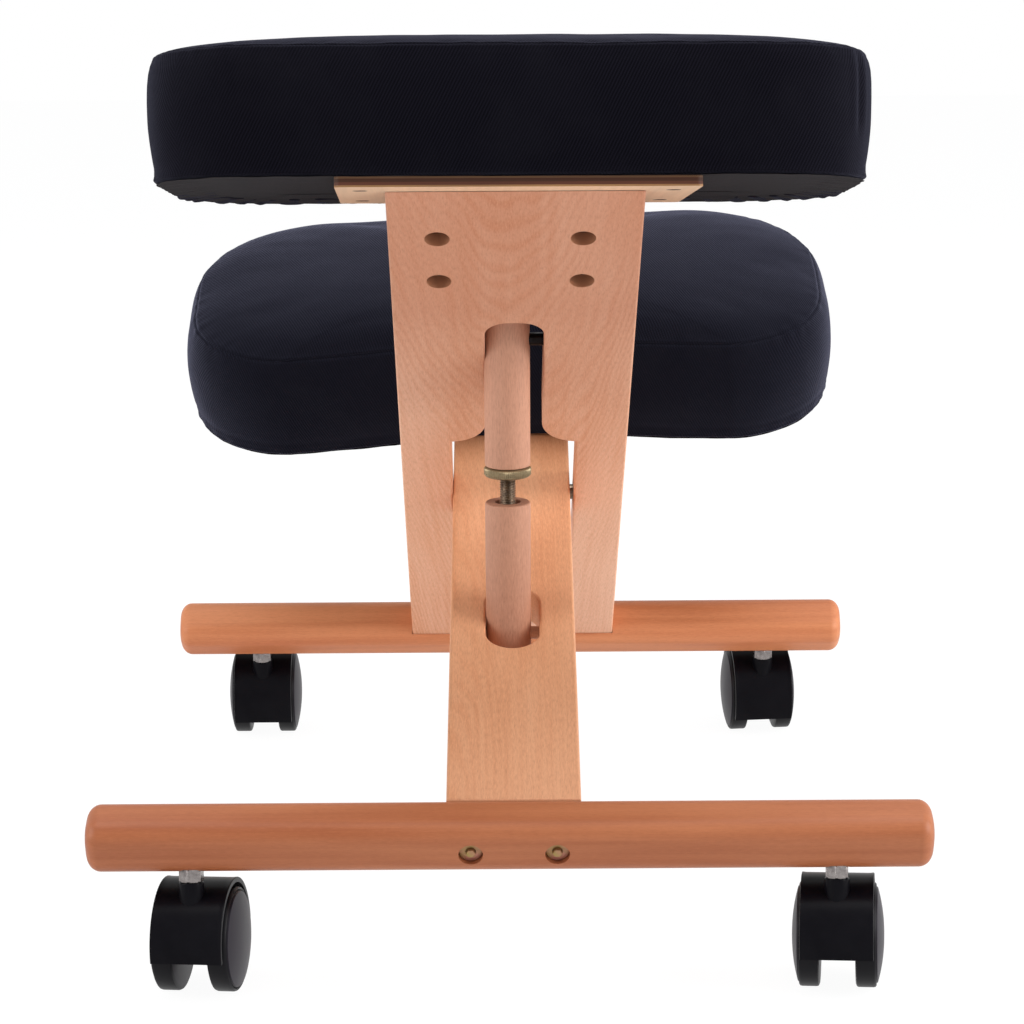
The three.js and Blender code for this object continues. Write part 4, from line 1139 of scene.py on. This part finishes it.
def knurled_wheel():
    """A turned disc with a straight fine knurl and eased rims round the rod."""
    teeth, per_tooth, knurl, knurled_r = 72, 4, 0.42, 14
    half = [(5.35, 0), (5.9, 0), (13.2, 0), (14.1, 0.7), (14.5, 1.3)]
    profile = half + [(14.5, KNOB_HIGH / 2)] + [(r, KNOB_HIGH - h) for r, h in reversed(half)]
    rows = []
    for r, h in profile:
        row = []
        for i in range(teeth * per_tooth):
            a = 2 * math.pi * i / (teeth * per_tooth)
            cut = knurl * (0.5 - 0.5 * math.cos(2 * math.pi * i / per_tooth)) if r > knurled_r else 0
            row.append(((r - cut) * math.cos(a), (r - cut) * math.sin(a), h))
        rows.append(row)
    obj = face_out(new_object("adjusting_wheel_metal", *loft(rows, closed_path=True)))
    finish_piece(obj, strut_frame @ shift(0, 0, KNOB_FOOT), "screw", zinc_yellow,
                 ("adjusting_wheel",), angle=50, weighted=False)


def threaded_rod():
    """A rod with a real helical thread, which fades out over its last turn at each end."""
    pitch, depth, rod_r, around, per_turn = 1.5, 0.8, 4.98, 36, 8
    total = int(SCREW_LENGTH / pitch * per_turn)
    rows = []
    for k in range(total + 1):
        z = k * pitch / per_turn
        fade = min(1.0, z / pitch, (SCREW_LENGTH - z) / pitch)
        row = []
        for i in range(around):
            phase = (z / pitch - i / around) % 1.0
            cut = min(1 - abs(2 * phase - 1), 0.92) * depth
            r = rod_r - cut * fade - (1 - fade) * 0.5
            a = 2 * math.pi * i / around
            row.append((r * math.cos(a), r * math.sin(a), z))
        rows.append(row)
    obj = face_out(new_object("threaded_rod_metal", *loft(rows)))
    finish_piece(obj, strut_frame @ shift(0, 0, SCREW_FOOT), "screw", steel, ("threaded_rod",),
                 angle=60, weighted=False)


strut("lower_strut", -15, LOWER_STRUT_TOP, 6, 1.6, (7.5, 10, LOWER_STRUT_TOP), 0)
strut("upper_strut", KNOB_TOP + FIT, STRUT_LENGTH + 19, 1.6, 6, (5.3, KNOB_TOP, KNOB_TOP + 40.6), STRUT_LENGTH)
knurled_wheel()
threaded_rod()


# Bolts in the bars
def bolt(name, matrix, body):
    """A washer with a stamped edge and a hex end that stands in its sink."""
    shank_r, washer_r, washer_foot = 2.8, 6.7, -2.0
    washer = rounded([(3.0, washer_foot), (washer_r, washer_foot), (washer_r, 0), (3.0, 0)],
                     {1: 0.5, 2: 0.35}, 3)

    def hexagon(r, z):
        """Six corners, each eased by two points."""
        turns = [math.pi / 3 * corner + ease for corner in range(6) for ease in (-0.06, 0.06)]
        return [(r * math.cos(a), r * math.sin(a), z) for a in turns]

    nut_end = loft([hexagon(2.5, -4.2), hexagon(2.85, -3.7), hexagon(2.85, 0.4)])
    parts = joined(lathe(washer, 48, closed_path=True), nut_end, cylinder(shank_r, 78, 24))
    obj = face_out(new_object(name + "_metal", *parts), weld=False)
    finish_piece(obj, matrix, body, zinc_rainbow, (name,), angle=35, weighted=False)


for side, tag in ((-1, "left"), (1, "right")):
    for end, rise, run, spread, body in (("rear", KNEE_RISE, KNEE_RUN, REAR_BOLTS, "knee_frame"),
                                         ("front", SEAT_RISE, SEAT_RUN, FRONT_BOLTS, "seat_frame")):
        seat_at = along(rise, -run - BAR / 2 + BOLT_SINK)
        seat_at.x = side * spread / 2
        bolt(f"{end}_bolt_{tag}", axis_frame(seat_at, rise), body)


# Seat plate
def seat_plate():
    """A plywood plate, a little askew on the beam, as in the photograph."""
    half, depth, hole_aside, hole_runs, hole_r = 100, 150, 86.5, (32, 124), 3.8
    # The plies from the bottom face up; the darkest band at the top is painted shade under the seat's liner
    plies = [(0.2, srgb(212, 156, 100)), (0.47, srgb(122, 66, 42)), (0.78, srgb(84, 45, 22)),
             (0.95, srgb(127, 90, 60)), (1.03, srgb(55, 32, 22))]
    faces_z = (-PLATE_THICK / 2 * MM, PLATE_THICK / 2 * MM)
    material = plywood("plate_ply", (0, 0, 0), faces_z, srgb(226, 186, 150), plies,
                       [(hole_aside * MM, run * MM, (hole_r + FIT) * MM) for run in hole_runs])
    holes = [arc(side * hole_aside, run, hole_r, hole_r, 0, -2 * math.pi, 24)[:-1]
             for side in (-1, 1) for run in hole_runs]
    shape = rounded_rect(-half, 0, 2 * half, depth, 4, 6)
    obj = plank("seat_plate_ply", shape, holes, PLATE_THICK, 0.35, 1)
    yaw = shift(0, depth, 0) @ Matrix.Rotation(PLATE_YAW, 4, "Z") @ shift(0, -depth, 0)
    matrix = plate_frame @ yaw @ shift(0, 0, PLATE_THICK / 2)
    for place in screw_places():
        boolean(obj, cylinder(SCREW_BORE, 90, 20), matrix.inverted() @ place @ shift(0, 0, -1))
    finish_piece(obj, matrix, "seat_frame", material, ("seat_plate",), angle=30)


seat_plate()


# Casters
BOSS_TOP = 35.7


def caster_stem(name, matrix, body):
    """A hex collar with chamfered ends on its shank."""
    sixth, steps, shank_below, shank_above = math.pi / 3, 72, 22, 12
    apothem = COLLAR_R * math.cos(sixth / 2)
    rows = []
    for z, cap in ((COLLAR_FOOT, 6.5), (COLLAR_FOOT + 0.5, COLLAR_R), (COLLAR_TOP - 0.5, COLLAR_R),
                   (COLLAR_TOP, 6.8)):
        row = []
        for i in range(steps):
            a = 2 * math.pi * i / steps
            r = min(apothem / math.cos((a + sixth / 2) % sixth - sixth / 2), cap)
            row.append((r * math.cos(a), r * math.sin(a), z))
        rows.append(row)
    shank = cylinder(STEM_R, shank_below + COLLAR_HIGH + shank_above, 32, COLLAR_FOOT - shank_below)
    obj = face_out(new_object(name + "_metal", *joined(loft(rows), shank)), weld=False)
    finish_piece(obj, matrix @ shift(0, -STEM_TRAIL, 0), body, zinc, (name,), angle=28,
                 weighted=False)


def caster_hood(name, matrix, body):
    """A shell over both wheels with rolled side rims, a web between the wheels and a tapered boss."""
    inner_r, outer_r, half, steps = 32.4, 35.2, 20.8, 72
    start, end = 12 * DEG, 195 * DEG
    section = rounded([(-half, inner_r), (-half, outer_r + 0.3), (-half + 2.4, outer_r), (half - 2.4, outer_r),
                       (half, outer_r + 0.3), (half, inner_r), (half - 1.6, inner_r), (-half + 1.6, inner_r)],
                      {1: 0.7, 2: 1.2, 3: 1.2, 4: 0.7, 5: 0.4, 0: 0.4}, 3)
    rings = []
    for k in range(steps + 1):
        a = start + (end - start) * k / steps
        rings.append([(x, r * math.cos(a), r * math.sin(a)) for x, r in section])
    obj = face_out(new_object(name + "_shell", *loft(rings)))
    web_r, hub_r, web_half = 33.6, 8, 5
    web = arc(0, 0, web_r, web_r, start, math.pi, 40) + arc(0, 0, hub_r, hub_r, math.pi, 2 * math.pi + start, 24)
    boolean(obj, loft([[(x, y, z) for y, z in web] for x in (-web_half, web_half)]), Matrix(), "UNION")
    boss = lathe([(0, 9.7), (5.4, 9.7), (6.6, 20), (7.2, 30), (7.2, BOSS_TOP - 0.7), (6.8, BOSS_TOP),
                  (0, BOSS_TOP)], 40)
    boolean(obj, boss, shift(0, -STEM_TRAIL, 0), "UNION")
    boolean(obj, cylinder(STEM_BORE, 30, 24), shift(0, -STEM_TRAIL, BOSS_TOP - 22.3))
    boolean(obj, pin_tool(WHEEL_AXLE_BORE, 44), CROSSWISE)
    finish_piece(obj, matrix, body, hood_nylon, (name,), angle=30)


def caster_wheel(name, side, matrix, body):
    """A tread, a dark groove under the hood's rim and a domed disc."""
    inner, outer, dome_r, dome_high = 10.3, 22.1, 27.2, 3.6
    hub = inner + 9.4
    path = [(0, hub), (3.35, hub), (3.35, inner), (28.2, inner), (29.6, inner + 0.6), (WHEEL_R, inner + 1.6),
            (WHEEL_R, outer - 1.6), (29.7, outer - 0.6), (29.0, outer - 0.1), (28.4, outer - 0.3),
            (28.0, outer - 0.9), (27.7, outer - 0.3), (dome_r, outer + 0.7)]
    path += [(dome_r * s, outer + 0.7 + dome_high * (1 - s ** 2.2)) for s in
             (0.97, 0.93, 0.87, 0.8, 0.7, 0.6, 0.5, 0.4, 0.3, 0.2, 0.1, 0.0)]
    obj = face_out(new_object(name + "_nylon", *lathe(path, 72)))
    turn = Matrix(((0, 0, side, 0), (1, 0, 0, 0), (0, side, 0, 0), (0, 0, 0, 1)))
    finish_piece(obj, matrix @ turn, body, wheel_nylon, (name,), angle=40, weighted=False)


for name in CASTERS:
    m = caster_frames[name]
    caster_stem(f"{name}_stem", m, "seat_frame" if name.startswith("front") else "knee_frame")
    caster_hood(f"{name}_hood", m, f"{name}_caster")
    for side, tag in ((-1, "left"), (1, "right")):
        caster_wheel(f"{name}_wheel_{tag}", side, m, f"{name}_{tag}_wheel")

# Carried-over CAD nodes
hidden_beech = wood("beech_gusset", srgb(222, 172, 136), srgb(196, 138, 104), rotation=(0.6, 0, 0), seed=0.7)
# Steel darkened to near black for the upper strut pin: painted shade, so that the pin reads as the dark of the
# slot round it
black_steel = metal("black_steel", srgb(36, 32, 32), srgb(22, 20, 20), 0.45)
ply_seat = plywood("board_ply_seat", (SEAT_TILT, 0, 0), (0, 0.012), PLY_PALE, BOARD_PLIES)
node_materials = {
    "pivot_axle": steel, "upper_strut_pin": black_steel, "lower_strut_pin": hidden_beech,
    "thread_insert": steel, "gusset_left": hidden_beech, "gusset_right": hidden_beech,
    "seat_board": ply_seat,
}
for name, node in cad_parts.items():
    if node.hide_render:
        continue
    material = node_materials.get(name, zinc)
    node.data.materials.clear()
    node.data.materials.append(material)
    node.data.polygons.foreach_set("use_smooth", [True] * len(node.data.polygons))
    node.data.set_sharp_from_angle(angle=35 * DEG)
